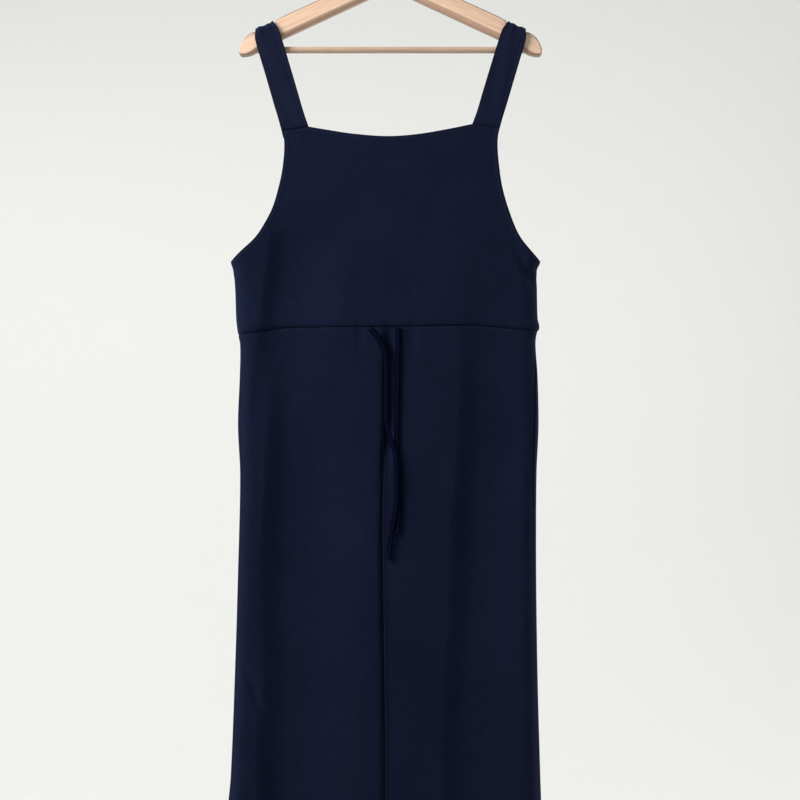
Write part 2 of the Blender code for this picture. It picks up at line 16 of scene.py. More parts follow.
import bpy
import numpy as np
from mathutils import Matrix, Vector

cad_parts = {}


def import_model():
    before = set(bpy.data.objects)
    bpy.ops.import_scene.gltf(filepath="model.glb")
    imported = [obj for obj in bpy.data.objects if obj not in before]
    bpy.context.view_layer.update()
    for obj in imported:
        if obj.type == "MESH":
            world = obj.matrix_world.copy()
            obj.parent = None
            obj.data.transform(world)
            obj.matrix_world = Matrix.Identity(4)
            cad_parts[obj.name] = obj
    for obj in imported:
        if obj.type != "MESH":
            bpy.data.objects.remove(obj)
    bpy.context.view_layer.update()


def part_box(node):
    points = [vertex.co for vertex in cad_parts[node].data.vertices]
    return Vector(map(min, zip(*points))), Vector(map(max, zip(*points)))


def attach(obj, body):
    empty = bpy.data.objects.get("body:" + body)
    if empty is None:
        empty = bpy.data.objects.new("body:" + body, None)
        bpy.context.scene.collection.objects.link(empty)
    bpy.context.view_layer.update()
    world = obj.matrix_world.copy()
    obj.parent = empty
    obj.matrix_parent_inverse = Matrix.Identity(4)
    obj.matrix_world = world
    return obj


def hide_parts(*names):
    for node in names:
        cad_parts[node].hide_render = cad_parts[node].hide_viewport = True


LOG = logging.getLogger("jumpsuit")
ROOT = "root"
MM = 0.001
CLOSE_STEPS = np.array([0.4, 1.0, 2.2, 4.0, 6.5])
BATCH = 6000
Colour = tuple[float, float, float]
Socket = bpy.types.NodeSocket


class Side(Enum):
    """Which half of the garment, as seen from the front."""

    LEFT = -1
    RIGHT = 1

    @property
    def word(self) -> str:
        """The side's name, as piece names use it."""
        return self.name.lower()


class Face(Enum):
    """Which way a panel faces, along Y."""

    FRONT = -1
    BACK = 1

    @property
    def word(self) -> str:
        """The face's name, as piece names use it."""
        return self.name.lower()


# --------------------------------------------------------------------------------------------------
# Tables
# --------------------------------------------------------------------------------------------------


class Section(NamedTuple):
    """Outline and depth of the hung body at one height, with the angles of its side seams."""

    height: float
    left: float
    right: float
    depth: float
    seam_left: float
    seam_right: float


class Armhole(NamedTuple):
    """Where the two armholes' edges are at one height."""

    height: float
    left: float
    right: float


class EdgePoint(NamedTuple):
    """A point on an edge or a seam that runs across."""

    across: float
    height: float


class CentreRow(NamedTuple):
    """The centre seam at one height: its line, how far it is drawn in, and half the gap between the legs."""

    height: float
    across: float
    valley: float
    apart: float


class CreasePoint(NamedTuple):
    """A point on the line that a crease runs along, with its depth there."""

    height: float
    across: float
    depth: float


class StrapRow(NamedTuple):
    """A row across a strap: distance from the crown, stand from the middle plane, half width and slope."""

    drop: float
    stand: float
    half: float
    lean: float


class TiePoint(NamedTuple):
    """A point on a tie, with the space under it."""

    across: float
    height: float
    lift: float


def table(kind: type[NamedTuple], *rows: Sequence[float]) -> tuple[NamedTuple, ...]:
    """A table's rows, each of one kind."""
    return tuple(kind(*row) for row in rows)


class Track:
    """A smooth curve through two columns of a table."""

    def __init__(self, keys: Sequence[float], values: Sequence[float]) -> None:
        """Sorts the columns and works out a slope at each key.

        Args:
            keys: The column that the curve is read by.
            values: The column that it gives.
        """
        order = np.argsort(keys)
        self.keys = np.asarray(keys, float)[order]
        self.values = np.asarray(values, float)[order]
        low = np.maximum(np.arange(len(self.keys)) - 1, 0)
        high = np.minimum(np.arange(len(self.keys)) + 1, len(self.keys) - 1)
        self.slopes = (self.values[high] - self.values[low]) / (self.keys[high] - self.keys[low])

    def __call__(self, at: np.ndarray | float) -> np.ndarray:
        """Reads the curve.

        Args:
            at: Keys to read it at. Beyond the ends, the end's value holds.

        Returns:
            The values there.
        """
        at = np.clip(np.asarray(at, float), self.keys[0], self.keys[-1])
        i = np.clip(np.searchsorted(self.keys, at, side="right") - 1, 0, len(self.keys) - 2)
        span = self.keys[i + 1] - self.keys[i]
        t = (at - self.keys[i]) / span
        return (
            self.values[i] * (2 * t**3 - 3 * t**2 + 1)
            + self.values[i + 1] * (3 * t**2 - 2 * t**3)
            + self.slopes[i] * span * (t**3 - 2 * t**2 + t)
            + self.slopes[i + 1] * span * (t**3 - t**2)
        )


def track(rows: Sequence[NamedTuple], key: str, column: str) -> Track:
    """A curve through one column of a table.

    Args:
        rows: The table.
        key: Name of the column to read it by.
        column: Name of the column that it gives.

    Returns:
        The curve.
    """
    return Track([getattr(row, key) for row in rows], [getattr(row, column) for row in rows])


def ease(value: np.ndarray, start: float, end: float) -> np.ndarray:
    """A smooth step from 0 at start to 1 at end.

    Args:
        value: Where to read it.
        start: Where it leaves 0.
        end: Where it reaches 1.

    Returns:
        The step's height at each value.
    """
    t = np.clip((value - start) / (end - start), 0.0, 1.0)
    return t * t * (3 - 2 * t)


def quarter_round(inside: np.ndarray, radius: float) -> np.ndarray:
    """Height of a round edge, as a share of its radius.

    Args:
        inside: Distances from the edge.
        radius: Where it is level.

    Returns:
        The height's share at each distance, 0 at the edge and 1 from the radius on.
    """
    return np.sqrt(1 - (1 - np.clip(inside / radius, 0, 1)) ** 2)


def unit(vectors: np.ndarray) -> np.ndarray:
    """The vectors in the last axis, each scaled to a length of 1."""
    return vectors / np.linalg.norm(vectors, axis=-1, keepdims=True)


def line_lengths(line: np.ndarray) -> np.ndarray:
    """Distance along a line to each of its points, (count,)."""
    return np.concatenate([[0.0], np.cumsum(np.linalg.norm(np.diff(line, axis=0), axis=1))])


@dataclass(frozen=True)
class Crease:
    """A soft trough down one face of the garment: it falls fast on its left, and eases out on its right."""

    face: Face
    left_flank: float
    right_flank: float
    line: tuple[CreasePoint, ...]

    def depth(self, across: np.ndarray, height: np.ndarray) -> np.ndarray:
        """How far it draws the cloth in.

        Args:
            across: Places across the cloth.
            height: Their heights.

        Returns:
            The depth at each place.
        """
        offset = across - track(self.line, "height", "across")(height)
        fall = np.clip(1 + offset / self.left_flank, 0, 1)
        rise = np.clip(offset / self.right_flank, 0, 1)
        share = (1 - (1 - fall) ** 4 * (1 + 4 * fall)) * (1 - rise**2 * (3 - 2 * rise))
        heights = [point.height for point in self.line]
        inside = (height <= max(heights)) & (height >= min(heights))
        return np.where(inside, track(self.line, "height", "depth")(height) * share, 0.0)


# --------------------------------------------------------------------------------------------------
# Finishes
# --------------------------------------------------------------------------------------------------


class Grain(NamedTuple):
    """A noise texture: its scale, octaves, how strong the finer ones are, and its share in a tone."""

    scale: float
    detail: float
    roughness: float
    share: float = 1.0


class Relief(NamedTuple):
    """A bump: what a height of 1 stands for, in metres, and how strong it is."""

    distance: float
    strength: float


class NodeTree:
    """Short ways to add nodes to a material."""

    def __init__(self, name: str) -> None:
        """Makes a material with a Principled shader.

        Args:
            name: The material's name.
        """
        self.material = bpy.data.materials.new(name)
        self.material.use_nodes = True
        self.tree = self.material.node_tree
        self.shader = self.tree.nodes["Principled BSDF"]

    def node(
        self, kind: str, inputs: dict[str | int, object] | None = None, **settings: object
    ) -> bpy.types.Node:
        """Adds a node.

        Args:
            kind: The node's type.
            inputs: A value or an output socket for each input, by name or number.
            settings: The node's own settings.

        Returns:
            The node.
        """
        made = self.tree.nodes.new(kind)
        for name, value in settings.items():
            setattr(made, name, value)
        for name, value in (inputs or {}).items():
            if isinstance(value, Socket):
                self.tree.links.new(value, made.inputs[name])
            else:
                made.inputs[name].default_value = value
        return made

    def math(self, operation: str, first: object, second: object = 0.0, third: object = 0.0) -> Socket:
        """Adds a Math node.

        Args:
            operation: What it works out.
            first: Its first value or socket.
            second: Its second value or socket.
            third: Its third value or socket.

        Returns:
            The result's socket.
        """
        return self.node("ShaderNodeMath", {0: first, 1: second, 2: third}, operation=operation).outputs[0]

    def noise(self, vector: object, grain: Grain) -> Socket:
        """Adds a noise texture.

        Args:
            vector: The coordinates' socket.
            grain: Its scale and octaves.

        Returns:
            The noise's socket.
        """
        scale, detail, roughness, _ = grain
        inputs = {"Vector": vector, "Scale": scale, "Detail": detail, "Roughness": roughness}
        return self.node("ShaderNodeTexNoise", inputs).outputs["Fac"]

    def fade(self, value: object, near: float, far: float) -> Socket:
        """Adds a smooth fall from 1 to 0.

        Args:
            value: What it is read by.
            near: Where it leaves 1.
            far: Where it reaches 0.

        Returns:
            The result's socket.
        """
        inputs = {0: value, 1: near, 2: far, 3: 1.0, 4: 0.0}
        return self.node("ShaderNodeMapRange", inputs, interpolation_type="SMOOTHSTEP").outputs[0]

    def blend(self, share: object, first: object, second: object, how: str = "MIX") -> Socket:
        """Adds a mix of two colours.

        Args:
            share: How much of the second there is.
            first: The first colour or its socket.
            second: The second colour or its socket.
            how: The blend type.

        Returns:
            The colour's socket.
        """
        inputs = {0: share, 6: first, 7: second}
        return self.node("ShaderNodeMix", inputs, data_type="RGBA", blend_type=how).outputs[2]

    def ramp(self, factor: object, stops: Sequence[tuple[float, Colour]]) -> Socket:
        """Adds a colour ramp.

        Args:
            factor: The socket that drives it.
            stops: A place from 0 to 1 and a colour for each stop.

        Returns:
            The colour's socket.
        """
        made = self.node("ShaderNodeValToRGB", {0: factor})
        elements = made.color_ramp.elements
        while len(elements) < len(stops):
            elements.new(0.5)
        for element, (place, colour) in zip(elements, stops):
            element.position = place
            element.color = (*colour, 1.0)
        return made.outputs["Color"]

    def bump(self, height: object, relief: Relief, normal: object = None) -> Socket:
        """Adds a bump node.

        Args:
            height: The height's socket, from 0 to 1.
            relief: How deep and strong it is.
            normal: The normal's socket that it adds to, if any.

        Returns:
            The normal's socket.
        """
        inputs = {"Height": height, "Distance": relief.distance, "Strength": relief.strength}
        if normal is not None:
            inputs["Normal"] = normal
        return self.node("ShaderNodeBump", inputs).outputs["Normal"]

    def map_parts(self, name: str) -> bpy.types.NodeOutputs:
        """The two parts of a UV map's coordinates, by axis."""
        uv = self.node("ShaderNodeUVMap", uv_map=name).outputs[0]
        return self.node("ShaderNodeSeparateXYZ", {0: uv}).outputs

    def join(self, output: object, name: str) -> None:
        """Joins a socket to one of the shader's inputs."""
        self.tree.links.new(output, self.shader.inputs[name])

    def constants(self, **values: object) -> None:
        """Sets the shader's own sockets. An underscore in a name stands for a space."""
        for name, value in values.items():
            self.shader.inputs[name.replace("_", " ")].default_value = value


class Finish:
    """A material made from its own settings."""

    def dress(self, tree: NodeTree, place: Socket) -> None:
        """Wires the shader from the place on the piece."""
        raise NotImplementedError

    def build(self, name: str) -> bpy.types.Material:
        """Makes the material.

        Args:
            name: The material's name.

        Returns:
            The material.
        """
        tree = NodeTree(name)
        self.dress(tree, tree.node("ShaderNodeTexCoord").outputs["Object"])
        return tree.material


@dataclass(frozen=True)
class KnitFinish(Finish):
    """A matt, medium-weight double knit: fine wales, a soft nap that catches light at its edges."""

    dark: Colour = (0.0021, 0.0037, 0.0126)
    light: Colour = (0.0054, 0.0075, 0.0210)
    # Painted highlight colour: the turned band and the topstitching threads are lightened towards it.
    lit: Colour = (0.0072, 0.0094, 0.0250)
    # Painted shade colour: the cloth is darkened towards it in the topstitching groove, along sewn seams and
    # at the fold of finished edges.
    deep: Colour = (0.0008, 0.0010, 0.0040)
    sheen_tint: Colour = (0.48, 0.62, 0.98)
    band_highlight: float = 0.35
    fold_shade: float = 0.75
    wale: float = 0.95 * MM
    course: float = 0.80 * MM
    loop_share: float = 0.9
    rib_share: float = 0.55
    stitch_row: float = 7.0 * MM
    stitch_length: float = 3.0 * MM
    stitch_space: tuple[float, float] = (0.28 * MM, 0.45 * MM)
    thread_width: tuple[float, float] = (0.15 * MM, 0.40 * MM)
    thread_highlight: float = 0.7
    groove_width: float = 1.1 * MM
    groove_shade: float = 0.50
    band_ease: float = 0.4 * MM
    fold_width: tuple[float, float] = (0.9 * MM, 2.6 * MM)
    broad: Grain = Grain(9.0, 3.0, 0.55, 0.25)
    mottle: Grain = Grain(150.0, 3.0, 0.6, 0.30)
    fine: Grain = Grain(520.0, 2.0, 0.7, 0.45)
    fuzz: Grain = Grain(900.0, 2.0, 0.7)
    dents: Grain = Grain(34.0, 3.0, 0.5)
    fuzz_relief: Relief = Relief(0.18 * MM, 0.50)
    loop_relief: Relief = Relief(0.16 * MM, 0.50)
    stitch_relief: Relief = Relief(0.30 * MM, 0.8)
    dent_relief: Relief = Relief(0.9 * MM, 0.55)
    tone_range: tuple[float, float] = (0.32, 0.68)
    roughness: float = 0.88
    sheen: float = 0.06
    sheen_roughness: float = 0.42
    gloss: float = 0.02

    def knit(self, tree: NodeTree, uv: Socket) -> Socket:
        """The height of the knit's loops: columns of slanted legs.

        Args:
            tree: The material.
            uv: Coordinates along the cloth, in metres.

        Returns:
            The height's socket.
        """
        parts = tree.node("ShaderNodeSeparateXYZ", {0: uv}).outputs
        wale = tree.math("MULTIPLY", parts["X"], 1 / self.wale)
        within = tree.math("PINGPONG", wale, 0.5)
        rib = tree.math("SINE", tree.math("MULTIPLY", within, 2 * math.pi))
        slanted = tree.math("MULTIPLY_ADD", parts["Y"], 1 / self.course, within)
        loop = tree.math("PINGPONG", slanted, 0.5)
        return tree.math("MULTIPLY_ADD", loop, self.loop_share, tree.math("MULTIPLY", rib, self.rib_share))

    def edges(self, tree: NodeTree) -> tuple[Socket, ...]:
        """What lies beside a finished edge or a seam.

        Args:
            tree: The material.

        Returns:
            Sockets from 0 to 1: the groove of the topstitching, its threads, the turned band between it and
            the edge, and the shade in the seams and at the fold of the edge.
        """
        edge, seam = tree.map_parts("edge"), tree.map_parts("seam")
        gap = edge["Y"]
        off = tree.math("ABSOLUTE", tree.math("SUBTRACT", gap, self.stitch_row))
        groove = tree.fade(off, 0.0, self.groove_width)
        run = tree.math("PINGPONG", edge["X"], self.stitch_length / 2)
        dash = tree.math("SUBTRACT", 1.0, tree.fade(run, *self.stitch_space))
        thread = tree.math("MULTIPLY", tree.fade(off, *self.thread_width), dash)
        band = tree.fade(gap, self.stitch_row - self.band_ease, self.stitch_row + self.band_ease)
        fold = tree.math("MULTIPLY", tree.fade(gap, *self.fold_width), self.fold_shade)
        shade = tree.math("MAXIMUM", seam["X"], fold)
        return groove, thread, band, shade

    def dress(self, tree: NodeTree, place: Socket) -> None:
        """Wires the cloth's shader from the place on the piece."""
        uv = tree.node("ShaderNodeUVMap", uv_map="cloth").outputs[0]
        broad, mottle, fine = (tree.noise(place, grain) for grain in (self.broad, self.mottle, self.fine))
        tone = tree.math("MULTIPLY", broad, self.broad.share)
        tone = tree.math("MULTIPLY_ADD", fine, self.fine.share, tone)
        tone = tree.math("MULTIPLY_ADD", mottle, self.mottle.share, tone)
        base = tree.ramp(tone, tuple(zip(self.tone_range, (self.dark, self.light))))
        groove, thread, band, shade = self.edges(tree)
        # Painted highlight on the turned band between the topstitching and the edge.
        colour = tree.blend(tree.math("MULTIPLY", band, self.band_highlight), base, (*self.lit, 1.0))
        # Painted shade: darkens the cloth in the topstitching groove, along sewn seams and at the fold of
        # finished edges.
        painted_shade = tree.math("MAXIMUM", tree.math("MULTIPLY", groove, self.groove_shade), shade)
        colour = tree.blend(painted_shade, colour, (*self.deep, 1.0))
        # Painted highlight on the topstitching threads.
        colour = tree.blend(tree.math("MULTIPLY", thread, self.thread_highlight), colour, (*self.lit, 1.0))
        tree.join(colour, "Base Color")
        nap = tree.bump(tree.noise(place, self.fuzz), self.fuzz_relief)
        loops = tree.bump(self.knit(tree, uv), self.loop_relief, nap)
        pressed = tree.bump(tree.math("SUBTRACT", thread, groove), self.stitch_relief, loops)
        soft = tree.bump(tree.noise(place, self.dents), self.dent_relief, pressed)
        tree.join(soft, "Normal")
        tree.constants(Roughness=self.roughness, Sheen_Weight=self.sheen,
                       Sheen_Roughness=self.sheen_roughness, Sheen_Tint=(*self.sheen_tint, 1.0),
                       Specular_IOR_Level=self.gloss)
        tree.material.diffuse_color = (*self.light, 1.0)


@dataclass(frozen=True)
class WoodFinish(Finish):
    """Pale lacquered beech, its grain along each arm of the board."""

    pale: Colour = (0.54, 0.375, 0.27)
    deep: Colour = (0.39, 0.255, 0.175)
    # Painted shade colour: the board's rounded edges are darkened towards it, less on the underside.
    rim: Colour = (0.15, 0.078, 0.048)
    rim_shade: float = 0.85
    slope: float = 24.0
    figure: Grain = Grain(1.0, 5.0, 0.62, 0.80)
    figure_stretch: tuple[float, float, float] = (9.0, 130.0, 130.0)
    fleck: Grain = Grain(1.0, 2.0, 0.5, 0.22)
    fleck_stretch: tuple[float, float, float] = (60.0, 900.0, 900.0)
    tone_range: tuple[float, float] = (0.34, 0.62)
    relief: Relief = Relief(0.15 * MM, 0.25)
    roughness: float = 0.42
    lacquer: float = 0.25
    lacquer_roughness: float = 0.25

    def dress(self, tree: NodeTree, place: Socket) -> None:
        """Wires the wood's shader from the place on the piece."""
        parts = tree.node("ShaderNodeSeparateXYZ", {0: place}).outputs
        outward = tree.math("ABSOLUTE", parts["X"])
        mirrored = tree.node("ShaderNodeCombineXYZ", {0: outward, 1: parts["Y"], 2: parts["Z"]})
        turn = (0.0, -math.radians(self.slope), 0.0)
        along = tree.node("ShaderNodeMapping", {0: mirrored.outputs[0], "Rotation": turn}).outputs[0]
        figure, fleck = (
            tree.noise(tree.node("ShaderNodeMapping", {0: along, "Scale": stretch}).outputs[0], grain)
            for grain, stretch in ((self.figure, self.figure_stretch), (self.fleck, self.fleck_stretch))
        )
        tone = tree.math("MULTIPLY", figure, self.figure.share)
        tone = tree.math("MULTIPLY_ADD", fleck, self.fleck.share, tone)
        face = tree.ramp(tone, tuple(zip(self.tone_range, (self.deep, self.pale))))
        # Painted shade on the rounded edges, by the rim map.
        rim = tree.math("MULTIPLY", tree.map_parts("rim")["X"], self.rim_shade)
        edge = tree.blend(rim, face, (*self.rim, 1.0))
        tree.join(edge, "Base Color")
        tree.join(tree.bump(tone, self.relief), "Normal")
        tree.constants(Roughness=self.roughness, Coat_Weight=self.lacquer,
                       Coat_Roughness=self.lacquer_roughness)
        tree.material.diffuse_color = (*self.pale, 1.0)


@dataclass(frozen=True)
class SteelFinish(Finish):
    """Bright drawn wire, faintly streaked along its length."""

    colour: Colour = (0.56, 0.56, 0.57)
    streaks: Grain = Grain(900.0, 2.0, 0.5)
    roughness: tuple[float, float] = (0.30, 0.42)

    def dress(self, tree: NodeTree, place: Socket) -> None:
        """Wires the steel's shader from the place on the piece."""
        streaks = tree.noise(place, self.streaks)
        low, high = self.roughness
        rough = tree.node("ShaderNodeMapRange", {0: streaks, 3: low, 4: high}).outputs[0]
        tree.join(rough, "Roughness")
        tree.constants(Base_Color=(*self.colour, 1.0), Metallic=1.0)
        tree.material.diffuse_color = (*self.colour, 1.0)


@dataclass(frozen=True)
class BackdropFinish(Finish):
    """Pale cloth for the studio's floor and wall, lit a little from behind."""

    colour: Colour = (0.535, 0.539, 0.527)
    glow: float = 0.13
    glow_colour: Colour = (1.0, 1.0, 0.985)
    weave: Grain = Grain(60.0, 4.0, 0.6)
    relief: Relief = Relief(1.0 * MM, 0.15)
    roughness: float = 0.9
    gloss: float = 0.1

    def dress(self, tree: NodeTree, place: Socket) -> None:
        """Wires the backdrop's shader from the place on the piece."""
        tree.join(tree.bump(tree.noise(place, self.weave), self.relief), "Normal")
        tree.constants(Base_Color=(*self.colour, 1.0), Roughness=self.roughness,
                       Specular_IOR_Level=self.gloss, Emission_Color=(*self.glow_colour, 1.0),
                       Emission_Strength=self.glow)


# --------------------------------------------------------------------------------------------------
# Meshes and cloth walls
# --------------------------------------------------------------------------------------------------


def add_object(name: str, data: bpy.types.ID) -> bpy.types.Object:
    """Links a mesh, curve, lamp or camera to the scene as a named object at the origin."""
    made = bpy.data.objects.new(name, data)
    bpy.context.scene.collection.objects.link(made)
    return made


def add_map(mesh: bpy.types.Mesh, name: str, values: np.ndarray) -> None:
    """Adds a UV map from a pair of values for each vertex.

    Args:
        mesh: The mesh.
        name: The map's name.
        values: The coordinates, (vertices, 2).
    """
    corner = np.empty(len(mesh.loops), dtype=np.int32)
    mesh.loops.foreach_get("vertex_index", corner)
    mesh.uv_layers.new(name=name).data.foreach_set("uv", values[corner].astype(np.float32).ravel())


def ring_faces(rings: int, count: int) -> np.ndarray:
    """Four-sided faces between closed rings of points, each next to the one before.

    Args:
        rings: How many rings there are.
        count: How many points each has.

    Returns:
        The faces, (faces, 4).
    """
    index = np.arange(rings * count).reshape(rings, count)
    after = np.roll(index, -1, axis=1)
    return np.stack([index[:-1], after[:-1], after[1:], index[1:]], axis=2).reshape(-1, 4)


def hand_over(piece: bpy.types.Object, finish: bpy.types.Material, node: str) -> None:
    """Dresses a piece and puts it in its node's place.

    Args:
        piece: The piece.
        finish: Its material.
        node: The node that it stands for.
    """
    piece.data.materials.clear()
    piece.data.materials.append(finish)
    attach(piece, ROOT)
    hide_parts(node)


def run_lengths(points: np.ndarray, axis: int) -> np.ndarray:
    """Distance along a grid's rows or columns.

    Args:
        points: The grid, (rows, columns, 3).
        axis: 0 to run up the columns, 1 to run along the rows.

    Returns:
        The distance from the first point of each column or row.
    """
    steps = np.linalg.norm(np.diff(points, axis=axis), axis=2)
    start = np.zeros_like(np.take(steps, [0], axis=axis))
    return np.concatenate([start, np.cumsum(steps, axis=axis)], axis=axis)


def from_edge(points: np.ndarray, edge: np.ndarray) -> tuple[np.ndarray, np.ndarray]:
    """How far points lie from an edge, and where along it.

    Args:
        points: The grid, (rows, columns, 3).
        edge: The edge's points in order, (count, 3).

    Returns:
        The distance from the edge and the distance along it, each (rows, columns).
    """
    flat = points.reshape(-1, 3)
    along = line_lengths(edge)
    best = np.full(len(flat), np.inf)
    where = np.zeros(len(flat))
    for start in range(0, len(flat), BATCH):
        batch = slice(start, start + BATCH)
        part = flat[batch]
        nearest = ((part[:, None, :] - edge[None, :, :]) ** 2).sum(axis=2).argmin(axis=1)
        for shift in (-1, 0):
            i = np.clip(nearest + shift, 0, len(edge) - 2)
            run = edge[i + 1] - edge[i]
            t = np.clip(((part - edge[i]) * run).sum(axis=1) / (run**2).sum(axis=1), 0.0, 1.0)
            gap = np.linalg.norm(part - edge[i] - run * t[:, None], axis=1)
            closer = gap < best[batch]
            best[batch][closer] = gap[closer]
            where[batch][closer] = (along[i] + t * (along[i + 1] - along[i]))[closer]
    return best.reshape(points.shape[:2]), where.reshape(points.shape[:2])


class Seam(NamedTuple):
    """A sewn line that dips into the cloth: points, depth, half width, and its shade's strength and reach."""

    line: np.ndarray
    depth: float
    width: float
    shade: float = 0.45
    reach: float = 2.2 * MM


@dataclass
class ClothWall:
    """A closed cloth wall on a grid of points.

    Rows run up it and columns run across it. Its outside faces the cross product of a step along a row with
    a step up a column.
    """

    name: str
    points: np.ndarray
    thickness: float
    finished: list[np.ndarray] = field(default_factory=list)
    sewn: list[Seam] = field(default_factory=list)
    turned: float = 7.0 * MM
    turned_step: float = 0.45 * MM
    turned_ease: tuple[float, float] = (0.8 * MM, -0.6 * MM)
    roll: float = 0.9 * MM
    fold_drop: float = 0.5
    fold_thin: float = 0.9

    def normals(self) -> np.ndarray:
        """Unit normals of the grid, (rows, columns, 3)."""
        return unit(np.cross(np.gradient(self.points, axis=1), np.gradient(self.points, axis=0)))

    def skins(self) -> tuple[np.ndarray, np.ndarray, dict[str, np.ndarray]]:
        """Works out the outer and inner surface.

        Finished edges are turned under, so they are thicker up to their stitching and rounded at the fold.
        Sewn edges dip towards their seam.

        Returns:
            The outer and the inner points, and two maps by name: distance along and from the nearest finished
            edge, and how deep in the shade of a seam the cloth lies.
        """
        lift = np.zeros(self.points.shape[:2])
        thick = np.full(self.points.shape[:2], self.thickness)
        edge_map = np.zeros((*self.points.shape[:2], 2))
        edge_map[..., 1] = 1.0
        for edge in self.finished:
            gap, along = from_edge(self.points, edge)
            nearer = gap < edge_map[..., 1]
            edge_map[nearer] = np.stack([along, gap], axis=2)[nearer]
        gap = edge_map[..., 1]
        before, after = self.turned_ease
        lift += self.turned_step * ease(gap, self.turned + before, self.turned + after)
        curl = 1 - quarter_round(gap, self.roll)
        lift -= self.fold_drop * self.thickness * curl
        thick -= self.fold_thin * self.thickness * curl
        # Painted shade along each sewn seam, strongest on its line and fading out over its reach; the cloth's
        # shader darkens by it.
        seam_map = np.zeros_like(edge_map)
        for seam in self.sewn:
            gap, _ = from_edge(self.points, seam.line)
            shade = seam.shade * ease(gap, seam.reach, -seam.reach / 3)
            seam_map[..., 0] = np.maximum(seam_map[..., 0], shade)
            lift -= seam.depth * np.exp(-((gap / seam.width) ** 2))
        normals = self.normals()
        outer = self.points + normals * lift[..., None]
        return outer, outer - normals * thick[..., None], {"edge": edge_map, "seam": seam_map}

    def build(self) -> bpy.types.Object:
        """Makes the wall's object, with its cloth, edge and seam maps.

        Returns:
            The object.
        """
        outer, inner, maps = self.skins()
        rows, columns = self.points.shape[:2]
        index = np.arange(rows * columns).reshape(rows, columns)
        corners = [index[:-1, :-1], index[:-1, 1:], index[1:, 1:], index[1:, :-1]]
        quads = np.stack(corners, axis=2).reshape(-1, 4)
        rim = np.concatenate([index[0], index[1:, -1], index[-1, -2::-1], index[-2:0:-1, 0]])
        after = np.roll(rim, -1)
        shift = rows * columns
        walls = np.stack([after, rim, rim + shift, after + shift], axis=1)
        faces = np.concatenate([quads, quads[:, ::-1] + shift, walls])
        vertices = np.concatenate([outer.reshape(-1, 3), inner.reshape(-1, 3)])
        mesh = bpy.data.meshes.new(self.name)
        mesh.from_pydata(vertices.tolist(), [], faces.tolist())
        maps["cloth"] = np.stack([run_lengths(self.points, 1), run_lengths(self.points, 0)], axis=2)
        for name, values in maps.items():
            add_map(mesh, name, np.concatenate([values.reshape(-1, 2)] * 2))
        mesh.shade_smooth()
        mesh.update()
        return add_object(self.name, mesh)

    def place(self, finish: bpy.types.Material, node: str) -> None:
        """Makes the wall in a node's place.

        Args:
            finish: The cloth's material.
            node: The node that it stands for.
        """
        piece = self.build()
        hand_over(piece, finish, node)
        self.declare()

    def declare(self) -> None:
        across = float(run_lengths(self.points, 1)[:, -1].max())
        up = float(run_lengths(self.points, 0)[-1].max())


def spread(
    start: float, end: float, count: int, close_start: float = 0.0, close_end: float = 0.0
) -> np.ndarray:
    """Even steps from start to end, with closer ones at either end.

    Args:
        start: The first value.
        end: The last value.
        count: How many even steps there are.
        close_start: Scale of the closer steps at the start, or 0 for none.
        close_end: The same for the end.

    Returns:
        The values, in order.
    """
    values = list(np.linspace(start, end, count + 1))
    way = 1 if end > start else -1
    if close_start:
        values += list(start + way * close_start * CLOSE_STEPS)
    if close_end:
        values += list(end - way * close_end * CLOSE_STEPS)
    return np.unique(values)[::way]


# --------------------------------------------------------------------------------------------------
# Garment
# --------------------------------------------------------------------------------------------------


